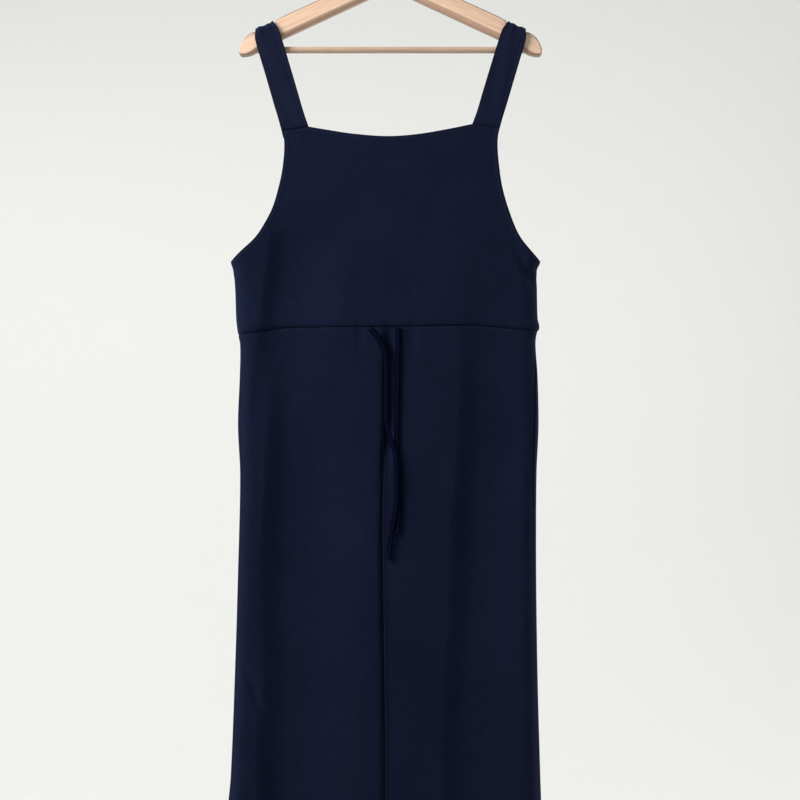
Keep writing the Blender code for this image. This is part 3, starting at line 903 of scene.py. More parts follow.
@dataclass(frozen=True)
class Pattern:
    """The hung garment's shared sizes: its outline, seams, edges and creases."""

    cloth: float = 1.5 * MM
    seam_gap: float = 0.1 * MM
    tucked: float = 1.0 * MM
    underarm: float = -0.5218
    waist: float = -0.6194
    hem: float = -1.5800
    back_neck_drop: float = 6.0 * MM
    side_roll: float = 24.0 * MM
    inner_roll: float = 3.6 * MM
    neck_corner: float = 0.1206
    strap_seam: float = -0.3260
    strap_seam_drop: float = 6.2 * MM
    strap_seam_end: float = 0.1585
    waist_bend: float = 0.080
    most_drawn: float = 0.75
    wave_depth: float = 0.35 * MM
    ripple_depth: float = 0.12 * MM

    sections: tuple[Section, ...] = table(
        Section,
        (-0.3200, -0.2360, 0.2215, 0.0104, 0, 0),
        (-0.4200, -0.2360, 0.2215, 0.0125, 0, 0),
        (-0.5218, -0.2360, 0.2215, 0.0160, 0, 0),
        (-0.5340, -0.2325, 0.2165, 0.0165, 0, 0),
        (-0.5630, -0.2300, 0.2170, 0.0170, 0, 0),
        (-0.6060, -0.2285, 0.2180, 0.0180, 0, 0),
        (-0.6194, -0.2270, 0.2205, 0.0185, 0, 0),
        (-0.6300, -0.2255, 0.2160, 0.0185, 4, 4),
        (-0.6450, -0.2225, 0.2145, 0.0185, 11, 12),
        (-0.6900, -0.2230, 0.2175, 0.0195, 27, 31),
        (-0.7630, -0.2257, 0.2190, 0.0205, 34, 40),
        (-0.8370, -0.2225, 0.2160, 0.0215, 32, 38),
        (-0.9850, -0.2257, 0.2155, 0.0235, 30, 36),
        (-1.1330, -0.2302, 0.2175, 0.0250, 32, 34),
        (-1.2810, -0.2362, 0.2215, 0.0265, 32, 34),
        (-1.3300, -0.2405, 0.2232, 0.0270, 32, 34),
        (-1.4500, -0.2450, 0.2270, 0.0285, 30, 32),
        (-1.5800, -0.2490, 0.2310, 0.0300, 30, 32),
    )
    armholes: tuple[Armhole, ...] = table(
        Armhole,
        (-0.3200, -0.1610, 0.1608), (-0.3480, -0.1563, 0.1576), (-0.3860, -0.1590, 0.1604),
        (-0.4150, -0.1650, 0.1650), (-0.4450, -0.1742, 0.1735), (-0.4740, -0.1895, 0.1843),
        (-0.4890, -0.2005, 0.1925), (-0.5040, -0.2165, 0.2045), (-0.5218, -0.2360, 0.2215),
    )
    neck: tuple[EdgePoint, ...] = table(
        EdgePoint,
        (-0.1206, -0.3234), (-0.0960, -0.3277), (-0.0570, -0.3337), (-0.0050, -0.3375),
        (0.0400, -0.3345), (0.0850, -0.3270), (0.1206, -0.3195),
    )
    waist_seam: tuple[EdgePoint, ...] = table(
        EdgePoint,
        (-0.2270, -0.6300), (-0.1960, -0.6268), (-0.1600, -0.6206), (-0.1200, -0.6194),
        (-0.0100, -0.6190), (0.1200, -0.6170), (0.1600, -0.6198), (0.2205, -0.6256),
    )
    centre_seam: tuple[CentreRow, ...] = table(
        CentreRow,
        (-0.6000, -0.0085, 0.0, 0.0), (-0.6300, -0.0085, 0.0, 0.0), (-0.7000, -0.0090, 0.14, 0.0),
        (-0.8000, -0.0100, 0.22, 0.0), (-0.8700, -0.0118, 0.34, 0.0),
        (-0.9150, -0.0128, 0.60, 0.0), (-0.9405, -0.0130, 1.00, 0.0),
        (-1.0600, -0.0114, 1.00, 0.0), (-1.1600, -0.0098, 1.00, 0.0),
        (-1.3400, -0.0090, 1.00, 0.0), (-1.5800, -0.0085, 1.00, 0.0040),
    )
    creases: tuple[Crease, ...] = (
        Crease(Face.FRONT, 0.050, 0.080, table(
            CreasePoint,
            (-0.4350, -0.1300, 0.0), (-0.4700, -0.1320, 0.0040), (-0.5050, -0.1330, 0.0078),
            (-0.5640, -0.1400, 0.0086), (-0.6150, -0.1460, 0.0080), (-0.6600, -0.1520, 0.0052),
            (-0.7150, -0.1590, 0.0024), (-0.7500, -0.1640, 0.0),
        )),
        Crease(Face.FRONT, 0.058, 0.105, table(
            CreasePoint,
            (-0.6200, -0.1240, 0.0), (-0.6650, -0.1245, 0.0030), (-0.7190, -0.1250, 0.0066),
            (-0.7850, -0.1265, 0.0090), (-0.8600, -0.1305, 0.0096), (-0.9400, -0.1340, 0.0100),
            (-1.0200, -0.1350, 0.0094), (-1.0900, -0.1325, 0.0084), (-1.1400, -0.1315, 0.0086),
            (-1.2200, -0.1400, 0.0112), (-1.3200, -0.1400, 0.0126), (-1.5800, -0.1350, 0.0132),
        )),
        Crease(Face.FRONT, 0.058, 0.080, table(
            CreasePoint,
            (-0.4700, 0.1660, 0.0), (-0.5400, 0.1640, 0.0018), (-0.6200, 0.1600, 0.0030),
            (-0.6800, 0.1570, 0.0052), (-0.7400, 0.1550, 0.0078), (-0.8000, 0.1525, 0.0090),
            (-0.9000, 0.1455, 0.0090), (-1.0400, 0.1400, 0.0084), (-1.1300, 0.1350, 0.0074),
            (-1.2300, 0.1290, 0.0080), (-1.4000, 0.1300, 0.0086), (-1.5800, 0.1350, 0.0092),
        )),
        Crease(Face.FRONT, 0.012, 0.006, table(
            CreasePoint,
            (-0.4850, 0.1800, 0.0), (-0.5150, 0.1930, 0.0016), (-0.5400, 0.2040, 0.0028),
            (-0.5600, 0.2115, 0.0014), (-0.5750, 0.2160, 0.0),
        )),
        Crease(Face.FRONT, 0.009, 0.012, table(
            CreasePoint,
            (-1.1000, -0.2160, 0.0), (-1.1250, -0.2090, 0.0018), (-1.1650, -0.1940, 0.0022),
            (-1.1950, -0.1830, 0.0),
        )),
        Crease(Face.FRONT, 0.013, 0.013, table(
            CreasePoint,
            (-0.6000, 0.0000, 0.0), (-0.6194, 0.0004, 0.0012), (-0.6400, 0.0012, 0.0048),
            (-0.6800, 0.0016, 0.0082), (-0.7400, 0.0014, 0.0092), (-0.7750, 0.0000, 0.0068),
            (-0.8100, -0.0040, 0.0030), (-0.8600, -0.0080, 0.0),
        )),
        Crease(Face.FRONT, 0.010, 0.012, table(
            CreasePoint,
            (-0.5850, -0.0480, 0.0), (-0.6100, -0.0440, 0.0008), (-0.6350, -0.0430, 0.0010),
            (-0.6750, -0.0400, 0.0),
        )),
        Crease(Face.FRONT, 0.012, 0.010, table(
            CreasePoint,
            (-0.5900, 0.0380, 0.0), (-0.6120, 0.0350, 0.0008), (-0.6400, 0.0330, 0.0010),
            (-0.6850, 0.0300, 0.0),
        )),
        Crease(Face.BACK, 0.085, 0.021, table(
            CreasePoint,
            (-0.5000, -0.1080, 0.0), (-0.5900, -0.1110, 0.0040), (-0.7000, -0.1150, 0.0062),
            (-0.8600, -0.1180, 0.0058), (-1.0500, -0.1240, 0.0072), (-1.3000, -0.1260, 0.0094),
            (-1.5800, -0.1320, 0.0100),
        )),
        Crease(Face.BACK, 0.080, 0.019, table(
            CreasePoint,
            (-0.4400, 0.1480, 0.0), (-0.5200, 0.1530, 0.0046), (-0.6200, 0.1560, 0.0066),
            (-0.7600, 0.1540, 0.0054), (-0.9000, 0.1500, 0.0074), (-1.2500, 0.1580, 0.0064),
            (-1.5800, 0.1640, 0.0088),
        )),
        Crease(Face.BACK, 0.024, 0.018, table(
            CreasePoint,
            (-0.6350, -0.0420, 0.0), (-0.6700, -0.0460, 0.0018), (-0.7800, -0.0540, 0.0026),
            (-0.8900, -0.0500, 0.0),
        )),
        Crease(Face.BACK, 0.020, 0.050, table(
            CreasePoint,
            (-0.8000, 0.0560, 0.0), (-0.9500, 0.0600, 0.0028), (-1.1800, 0.0640, 0.0044),
            (-1.5800, 0.0700, 0.0060),
        )),
        Crease(Face.BACK, 0.008, 0.012, table(
            CreasePoint,
            (-0.4900, -0.1900, 0.0), (-0.5250, -0.2030, 0.0020), (-0.5450, -0.2090, 0.0022),
            (-0.5700, -0.2150, 0.0),
        )),
        Crease(Face.BACK, 0.010, 0.014, table(
            CreasePoint,
            (-1.0600, 0.2120, 0.0), (-1.1000, 0.2030, 0.0020), (-1.1500, 0.1880, 0.0018),
            (-1.1900, 0.1780, 0.0),
        )),
    )

    def section(self, column: str, height: np.ndarray | float) -> np.ndarray:
        """A column of the section table at some heights."""
        return track(self.sections, "height", column)(height)

    def centre(self, column: str, height: np.ndarray | float) -> np.ndarray:
        """A column of the centre seam's table at some heights."""
        return track(self.centre_seam, "height", column)(height)

    def armhole(self, side: Side, height: np.ndarray | float) -> np.ndarray:
        """Where the body's cut edge or side line is, armhole or not.

        Args:
            side: Which one.
            height: Heights to read it at.

        Returns:
            The places across.
        """
        cut = track(self.armholes, "height", side.word)(height)
        return np.where(np.asarray(height) > self.underarm, cut, self.section(side.word, height))

    def top_edge(self, across: np.ndarray, face: Face) -> np.ndarray:
        """Height of the bib's top: the neck, and a strap seam at each end of it.

        Args:
            across: Places across.
            face: Which bib, as the back one is cut lower.

        Returns:
            The heights.
        """
        inside = np.clip(across, -self.neck_corner, self.neck_corner)
        past = np.abs(across) - np.abs(inside)
        fall = self.strap_seam_drop * past / (self.strap_seam_end - self.neck_corner)
        drop = self.back_neck_drop if face is Face.BACK else 0.0
        return track(self.neck, "across", "height")(inside) - fall - drop

    def waist_edge(self, across: np.ndarray) -> np.ndarray:
        """Height of the waist seam."""
        return track(self.waist_seam, "across", "height")(across)

    def drawn_in(self, face: Face, across: np.ndarray, height: np.ndarray) -> np.ndarray:
        """How far creases and the cloth's slight unevenness draw a face in.

        Args:
            face: Which face.
            across: Places across.
            height: Their heights.

        Returns:
            The depths, towards the middle plane.
        """
        total = np.zeros(np.broadcast(across, height).shape)
        for crease in self.creases:
            if crease.face is face:
                total = total + crease.depth(across, height)
        turn = 0.8 if face is Face.FRONT else 2.9
        wave = np.sin(19.0 * across + 3.1 * height + turn) * np.sin(7.3 * height - 5.0 * across + turn)
        ripple = np.sin(61.0 * across - 9.0 * height + 2 * turn) * np.sin(23.0 * height + turn)
        return total + self.wave_depth * (1 + wave) + self.ripple_depth * (1 + ripple)


@dataclass
class Bodice:
    """The bib and its back: one panel each, from the waist seam up to the neck and the straps."""

    pattern: Pattern
    face: Face
    blouse: float = 1.6 * MM
    blouse_height: float = 11.0 * MM
    columns: int = 190
    side_columns: int = 16
    close_columns: tuple[float, ...] = (0.2 * MM, 0.5 * MM, 1.0 * MM, 1.75 * MM)
    lower_rows: int = 34
    upper_rows: int = 74
    seam_rows: int = 6

    def stand(self, across: np.ndarray, height: np.ndarray) -> np.ndarray:
        """How far the outer face stands off the middle plane.

        Args:
            across: Places across.
            height: Their heights.

        Returns:
            The distances.
        """
        pattern = self.pattern
        left, right = pattern.section("left", height), pattern.section("right", height)
        inside = np.minimum(across - left, right - across)
        round_side = quarter_round(inside, pattern.side_roll)
        above = np.maximum(height - pattern.waist_edge(across), 0.0) / self.blouse_height
        puff = self.blouse * above * np.exp(1 - above) * round_side
        full = pattern.section("depth", height) * round_side
        settled = np.minimum(pattern.drawn_in(self.face, across, height), pattern.most_drawn * full)
        return pattern.seam_gap / 2 + full + puff - settled

    def points(self) -> np.ndarray:
        """The grid of the panel's outer face, (rows, columns, 3), rows from the waist up."""
        pattern = self.pattern
        width = float(pattern.section("right", pattern.waist) - pattern.section("left", pattern.waist))
        roll = pattern.side_roll / width
        fine = roll * (1 - np.cos(np.radians(np.linspace(0, 90, self.side_columns + 1))))
        close = np.array(self.close_columns) / width
        flat = np.linspace(roll, 1 - roll, self.columns)[1:-1]
        u = np.unique(np.concatenate([fine, flat, 1 - fine[::-1], close, 1 - close]))
        low = spread(0.0, 1.0, self.lower_rows, close_start=0.004)
        high = spread(0.0, 1.0, self.upper_rows, close_end=0.0018)[1:]
        top_left, top_right = (pattern.armhole(side, pattern.strap_seam) for side in Side)
        waist_left, waist_right = (pattern.section(side.word, pattern.waist) for side in Side)
        foot = pattern.waist_edge(waist_left + (waist_right - waist_left) * u) + pattern.seam_gap / 2
        top = pattern.top_edge(top_left + (top_right - top_left) * u, self.face)
        height = np.concatenate([
            foot + (pattern.underarm - foot) * low[:, None],
            pattern.underarm + (top - pattern.underarm) * high[:, None],
        ])
        left, right = (pattern.armhole(side, height) for side in Side)
        across = left + (right - left) * u
        return np.stack([across, self.face.value * self.stand(across, height), height], axis=2)

    def build(self, finish: bpy.types.Material) -> None:
        """Makes the panel.

        Args:
            finish: The cloth's material.
        """
        pattern = self.pattern
        points = self.points()
        top = points[-1]
        neck = top[np.abs(top[:, 0]) <= pattern.neck_corner]
        straps = [top[top[:, 0] <= -pattern.neck_corner], top[top[:, 0] >= pattern.neck_corner]]
        above = self.lower_rows
        arm_edges = [points[above:, 0], points[above:, -1]]
        sides = [points[:above + self.seam_rows, 0], points[:above + self.seam_rows, -1]]
        if self.face is Face.BACK:
            points = points[:, ::-1]
        seams = [Seam(points[0], 0.9 * MM, 1.8 * MM)]
        seams += [Seam(line, 1.2 * MM, 1.6 * MM) for line in straps]
        seams += [Seam(line, 0.4 * MM, 1.2 * MM) for line in sides]
        wall = ClothWall(f"{self.face.word}_bodice_cloth", points, pattern.cloth,
                         finished=[neck, *arm_edges], sewn=seams)
        wall.place(finish, f"{self.face.word}_bodice")


@dataclass
class Leg:
    """One leg panel, from the side seam round to the centre seam and the inside leg.

    The shade of the centre seam is darkest at the shade column, counted from the seam.
    """

    pattern: Pattern
    side: Side
    face: Face
    roll_columns: int = 18
    shade_column: int = 20
    flat_columns: int = 84
    rows: int = 190
    hem_turn: float = 20.0 * MM

    def across_and_stand(self, u: np.ndarray, height: np.ndarray) -> tuple[np.ndarray, np.ndarray]:
        """Where the outer face is, before its creases.

        Args:
            u: 0 to 1 round the side, 1 to 2 over the flat, 2 to 3 round to the centre.
            height: The heights.

        Returns:
            The places across and their distances from the middle plane.
        """
        pattern, inward = self.pattern, -self.side.value
        outer = pattern.section(self.side.word, height)
        depth = pattern.section("depth", height)
        apart = pattern.centre("apart", height)
        inner = pattern.centre("across", height) - inward * apart
        seam = np.radians(pattern.section(f"seam_{self.side.word}", height))
        start = -self.face.value * seam + pattern.seam_gap / 2 / depth
        angle = start + (math.pi / 2 - start) * np.clip(u, 0, 1)
        near = outer + inward * pattern.side_roll * (1 - np.cos(angle))
        far = inner - inward * pattern.inner_roll
        flat = outer + inward * pattern.side_roll
        flat = flat + (far - flat) * np.clip(u - 1, 0, 1)
        turn = math.pi / 2 + (pattern.seam_gap / 2 / depth - math.pi / 2) * np.clip(u - 2, 0, 1)
        drop = np.minimum(pattern.centre("valley", height), 1.0) * (1 - np.sin(turn))
        round_in = inner - inward * pattern.inner_roll * (1 - np.cos(turn))
        across = np.where(u < 1, near, np.where(u < 2, flat, round_in))
        stand = np.where(u < 1, depth * np.sin(angle), np.where(u < 2, depth, depth * (1 - drop)))
        return across, stand

    def points(self) -> np.ndarray:
        """The grid of the panel's outer face, (rows, columns, 3), rows from the hem up."""
        pattern = self.pattern
        ends = CLOSE_STEPS[:4] * 0.5 * MM
        rolled = np.linspace(0, 1, self.roll_columns + 1)
        side = [rolled, ends / pattern.side_roll * 0.8]
        centre = [np.linspace(2, 3, self.roll_columns + 1), 3 - ends / pattern.inner_roll * 0.7]
        flat = np.linspace(1, 2, self.flat_columns + 1)[1:-1]
        u = np.unique(np.concatenate([*side, flat, *centre]))[None, :]
        v = spread(pattern.hem, pattern.waist, self.rows, close_start=0.5 * MM, close_end=0.5 * MM)[:, None]
        bend = np.clip(1 - (pattern.waist - v) / pattern.waist_bend, 0, 1)
        near, _ = self.across_and_stand(u, v)
        height = v + (pattern.waist_edge(near) - pattern.waist + pattern.tucked) * bend
        across, stand = self.across_and_stand(u, height)
        drawn = pattern.drawn_in(self.face, across, height)
        settled = np.minimum(drawn, pattern.most_drawn * np.abs(stand))
        return np.stack([across, self.face.value * (stand - settled), height + 0 * u], axis=2)

    def build(self, finish: bpy.types.Material) -> None:
        """Makes the panel.

        Args:
            finish: The cloth's material.
        """
        points = self.points()
        name = f"{self.face.word}_leg_{self.side.word}"
        seams = [Seam(points[-1], 2.2 * MM, 1.6 * MM), Seam(points[:, 0], 0.4 * MM, 1.2 * MM),
                 Seam(points[:, -1 - self.shade_column], 0.0, 1.0 * MM, 0.75, 7.0 * MM)]
        if self.side.value * self.face.value < 0:
            points = points[:, ::-1]
        wall = ClothWall(f"{name}_cloth", points, self.pattern.cloth, finished=[points[0]], sewn=seams,
                         turned=self.hem_turn)
        wall.place(finish, name)


@dataclass
class Strap:
    """A shoulder strap of two layers, from the front seam over the hanger's notch to the back seam."""

    pattern: Pattern
    side: Side
    cloth: float = 2.6 * MM
    crown_across: float = 0.1858
    crown_height: float = -0.1746
    rows: tuple[StrapRow, ...] = table(
        StrapRow,
        (0.0000, 0.0000, 0.0146, 22.8),
        (0.0002, 0.0048, 0.0147, 22.8),
        (0.0018, 0.0084, 0.0149, 22.6),
        (0.0056, 0.0100, 0.0163, 22.0),
        (0.0125, 0.0101, 0.0186, 20.0),
        (0.0300, 0.0101, 0.0193, 17.5),
        (0.0700, 0.0102, 0.0193, 16.5),
        (0.1100, 0.0103, 0.0192, 15.5),
        (0.1350, 0.0104, 0.0190, 13.5),
    )
    length_steps: int = 230
    width_steps: int = 30
    crown_reach: float = 14.0 * MM
    crown_steps: int = 56
    gather: float = 1.9 * MM
    gather_reach: float = 26.0 * MM
    puff: float = 0.35 * MM
    drift: float = 0.30 * MM
    level_ends: float = 12.0 * MM

    def edge_rows(self) -> np.ndarray:
        """Both edge points of every row from the front seam to the back one, (rows, 2, 3)."""
        pattern, side = self.pattern, self.side.value
        outer = float(pattern.armhole(self.side, pattern.strap_seam))
        ends = np.array(sorted((outer, side * pattern.neck_corner)))
        stand = float(pattern.section("depth", pattern.strap_seam))
        crown = np.array((side * self.crown_across, 0.0, self.crown_height))
        found = {}
        for face in Face:
            foot = pattern.top_edge(ends, face) + pattern.seam_gap
            feet = np.stack([ends, [face.value * stand] * 2, foot], axis=1)
            way = (feet.mean(axis=0) - crown) * (1, 0, 1)
            way /= np.linalg.norm(way)
            rows = []
            for row in self.rows:
                middle = crown + way * row.drop + (0, face.value * row.stand, 0)
                lean = math.radians(row.lean)
                reach = np.array((math.cos(lean), 0.0, -side * math.sin(lean))) * row.half
                rows.append([middle - reach, middle + reach])
            found[face] = rows + [list(feet)]
        return np.array(found[Face.FRONT][::-1] + found[Face.BACK][1:])

    def points(self) -> np.ndarray:
        """The grid of the strap's outer face, (rows, columns, 3), rows from the front seam."""
        rows = self.edge_rows()
        middles = rows.mean(axis=1)
        run = line_lengths(middles)
        at = spread(0.0, run[-1], self.length_steps, close_start=0.5 * MM, close_end=0.5 * MM)
        crown = run[len(self.rows)]
        close = np.linspace(-self.crown_reach, self.crown_reach, self.crown_steps + 1)
        at = np.unique(np.concatenate([at, crown + close]))
        edges = [[Track(run, rows[:, k, axis])(at) for axis in range(3)] for k in (0, 1)]
        left, right = (np.stack(edge, axis=1)[:, None, :] for edge in edges)
        u = spread(0.0, 1.0, self.width_steps, close_start=0.006, close_end=0.006)[None, :, None]
        flat = left + (right - left) * u
        out = unit(np.cross(np.gradient(flat, axis=1), np.gradient(flat, axis=0)))
        share = u[..., 0]
        near = np.exp(-(((at - crown) / self.gather_reach) ** 2))[:, None]
        ruck = self.rucks(share if self.side is Side.LEFT else 1 - share)
        puff = self.puff * (1 - (2 * share - 1) ** 4)
        drift = self.drift * (1 + np.sin(9.0 * share + 34.0 * at[:, None]))
        ends = ease(np.minimum(at, run[-1] - at), 0.0, self.level_ends)[:, None]
        return flat + out * (self.gather * near * ruck + (puff + drift) * ends)[..., None]

    @staticmethod
    def rucks(share: np.ndarray) -> np.ndarray:
        """Height of the cloth's rucks where it is gathered over the notch: two folds and two raised edges.

        Args:
            share: Places across the strap, from 0 at its outer edge to 1 at its inner one.

        Returns:
            The height at each place, as a share of the gather.
        """
        outer_fold = 0.75 * np.exp(-(((share - 0.22) / 0.13) ** 2))
        inner_fold = 0.55 * np.exp(-(((share - 0.66) / 0.10) ** 2))
        raised = 0.75 * ease(share, 0.78, 1.0) + 0.25 * ease(share, 0.12, 0.0)
        return 0.55 + outer_fold + inner_fold + raised

    def build(self, finish: bpy.types.Material) -> None:
        """Makes the strap.

        Args:
            finish: The cloth's material.
        """
        points = self.points()
        name = f"strap_{self.side.word}"
        seams = [Seam(line, 1.0 * MM, 1.5 * MM) for line in (points[0], points[-1])]
        wall = ClothWall(f"{name}_cloth", points, self.cloth, finished=[points[:, 0], points[:, -1]],
                         sewn=seams, turned=3.0 * MM, turned_step=0.25 * MM, roll=1.2 * MM)
        wall.place(finish, name)


@dataclass
class Tie:
    """A free end of the drawstring: a flat knitted band with a square, stitched end."""

    pattern: Pattern
    side: Side
    route: tuple[TiePoint, ...]
    width: float = 7.4 * MM
    thickness: float = 2.8 * MM
    step: float = 2.0 * MM
    around: int = 24
    hem: float = 9.0 * MM
    hem_swell: float = 0.22
    hem_ease: float = 0.6 * MM
    end_round: float = 1.2 * MM
    round_power: float = 0.80
    edge_shade: float = 0.95
    edge_reach: tuple[float, float] = (2.1 * MM, 0.5 * MM)
    clear: float = 0.3 * MM
    lift_share: float = 0.62

    def centreline(self) -> np.ndarray:
        """Points along the band's middle, from the waist seam to its end, (count, 3)."""
        pattern = self.pattern
        rough = np.linspace(self.route[0].height, self.route[-1].height, 400)
        across = track(self.route, "height", "across")(rough)
        lift = track(self.route, "height", "lift")(rough)
        stand = pattern.section("depth", rough) + self.thickness / 2 + self.clear + self.lift_share * lift
        line = np.stack([across, -stand, rough], axis=1)
        run = line_lengths(line)
        even = np.linspace(0.0, run[-1], round(run[-1] / self.step) + 1)
        return np.stack([np.interp(even, run, line[:, axis]) for axis in range(3)], axis=1)

    def build(self, finish: bpy.types.Material) -> None:
        """Args:
            finish: The cloth's material.
        """
        line = self.centreline()
        run = line_lengths(line)
        forward = unit(np.gradient(line, axis=0))
        front = np.array((0.0, -1.0, 0.0))
        out = unit(front - forward * (forward @ front)[:, None])
        flank = np.cross(forward, out)
        angles = np.linspace(0, 2 * math.pi, self.around + 1)[:-1]
        square = np.abs(np.cos(angles)) ** self.round_power * np.sign(np.cos(angles))
        proud = np.abs(np.sin(angles)) ** self.round_power * np.sign(np.sin(angles))
        end = run[-1] - run
        fold = 1 + self.hem_swell * ease(end, self.hem + self.hem_ease, self.hem - self.hem_ease)
        closing = np.maximum(quarter_round(end, self.end_round), 0.2)
        half = 0.5 * self.width * (1 + 0.03 * np.sin(run * 70)) * (0.6 + 0.4 * closing)
        deep = 0.5 * self.thickness * fold * closing * (1 + 0.06 * np.sin(run * 113 + 1.0))
        rings = (line[:, None, :] + flank[:, None, :] * (half[:, None] * square)[..., None]
                 + out[:, None, :] * (deep[:, None] * proud)[..., None])
        name = f"tie_{self.side.word}"
        count, sides = rings.shape[:2]
        index = np.arange(count * sides).reshape(count, sides)
        faces = [*ring_faces(count, sides).tolist(), index[0][::-1].tolist(), index[-1].tolist()]
        mesh = bpy.data.meshes.new(f"{name}_band")
        mesh.from_pydata(rings.reshape(-1, 3).tolist(), [], faces)
        mesh.shade_smooth()
        across = np.broadcast_to(angles / (2 * math.pi) * 2 * (self.width + self.thickness), (count, sides))
        along = np.broadcast_to(run[:, None], (count, sides))
        # Painted shade along both long edges of the band, carried in the seam map.
        shade = self.edge_shade * ease(half[:, None] * (1 - np.abs(square)), *self.edge_reach)
        maps = {
            "cloth": (across, along),
            "edge": (across, np.broadcast_to(end[:, None], (count, sides))),
            "seam": (shade, np.zeros((count, sides))),
        }
        for map_name, values in maps.items():
            add_map(mesh, map_name, np.stack(values, axis=2).reshape(-1, 2))
        piece = add_object(f"{name}_band", mesh)
        hand_over(piece, finish, name)
        LOG.info("%s: %.0f mm long", name, run[-1] / MM)


TIE_ROUTES = {
    Side.LEFT: table(
        TiePoint,
        (-0.0303, -0.6212, 0.0003), (-0.0215, -0.6310, 0.0004), (-0.0141, -0.6430, 0.0005),
        (-0.0085, -0.6570, 0.0006), (-0.0066, -0.6800, 0.0010), (-0.0064, -0.7200, 0.0015),
        (-0.0062, -0.7550, 0.0030), (-0.0030, -0.7720, 0.0052), (0.0022, -0.7880, 0.0062),
        (0.0070, -0.8040, 0.0060), (0.0092, -0.8300, 0.0058), (0.0094, -0.8600, 0.0056),
        (0.0074, -0.8860, 0.0050), (0.0030, -0.9120, 0.0036), (-0.0008, -0.9400, 0.0020),
        (-0.0030, -0.9580, 0.0014),
    ),
    Side.RIGHT: table(
        TiePoint,
        (0.0111, -0.6200, 0.0003), (0.0110, -0.6400, 0.0004), (0.0106, -0.6800, 0.0006),
        (0.0096, -0.7300, 0.0006), (0.0092, -0.7700, 0.0005), (0.0098, -0.8000, 0.0005),
        (0.0124, -0.8250, 0.0005), (0.0140, -0.8550, 0.0005), (0.0128, -0.8880, 0.0005),
        (0.0094, -0.9220, 0.0005),
    ),
}


# --------------------------------------------------------------------------------------------------
# Hanger
# --------------------------------------------------------------------------------------------------


def only(thing: bpy.types.Object) -> None:
    """Makes one object the only selected one, and the active one."""
    bpy.ops.object.select_all(action="DESELECT")
    thing.select_set(True)
    bpy.context.view_layer.objects.active = thing


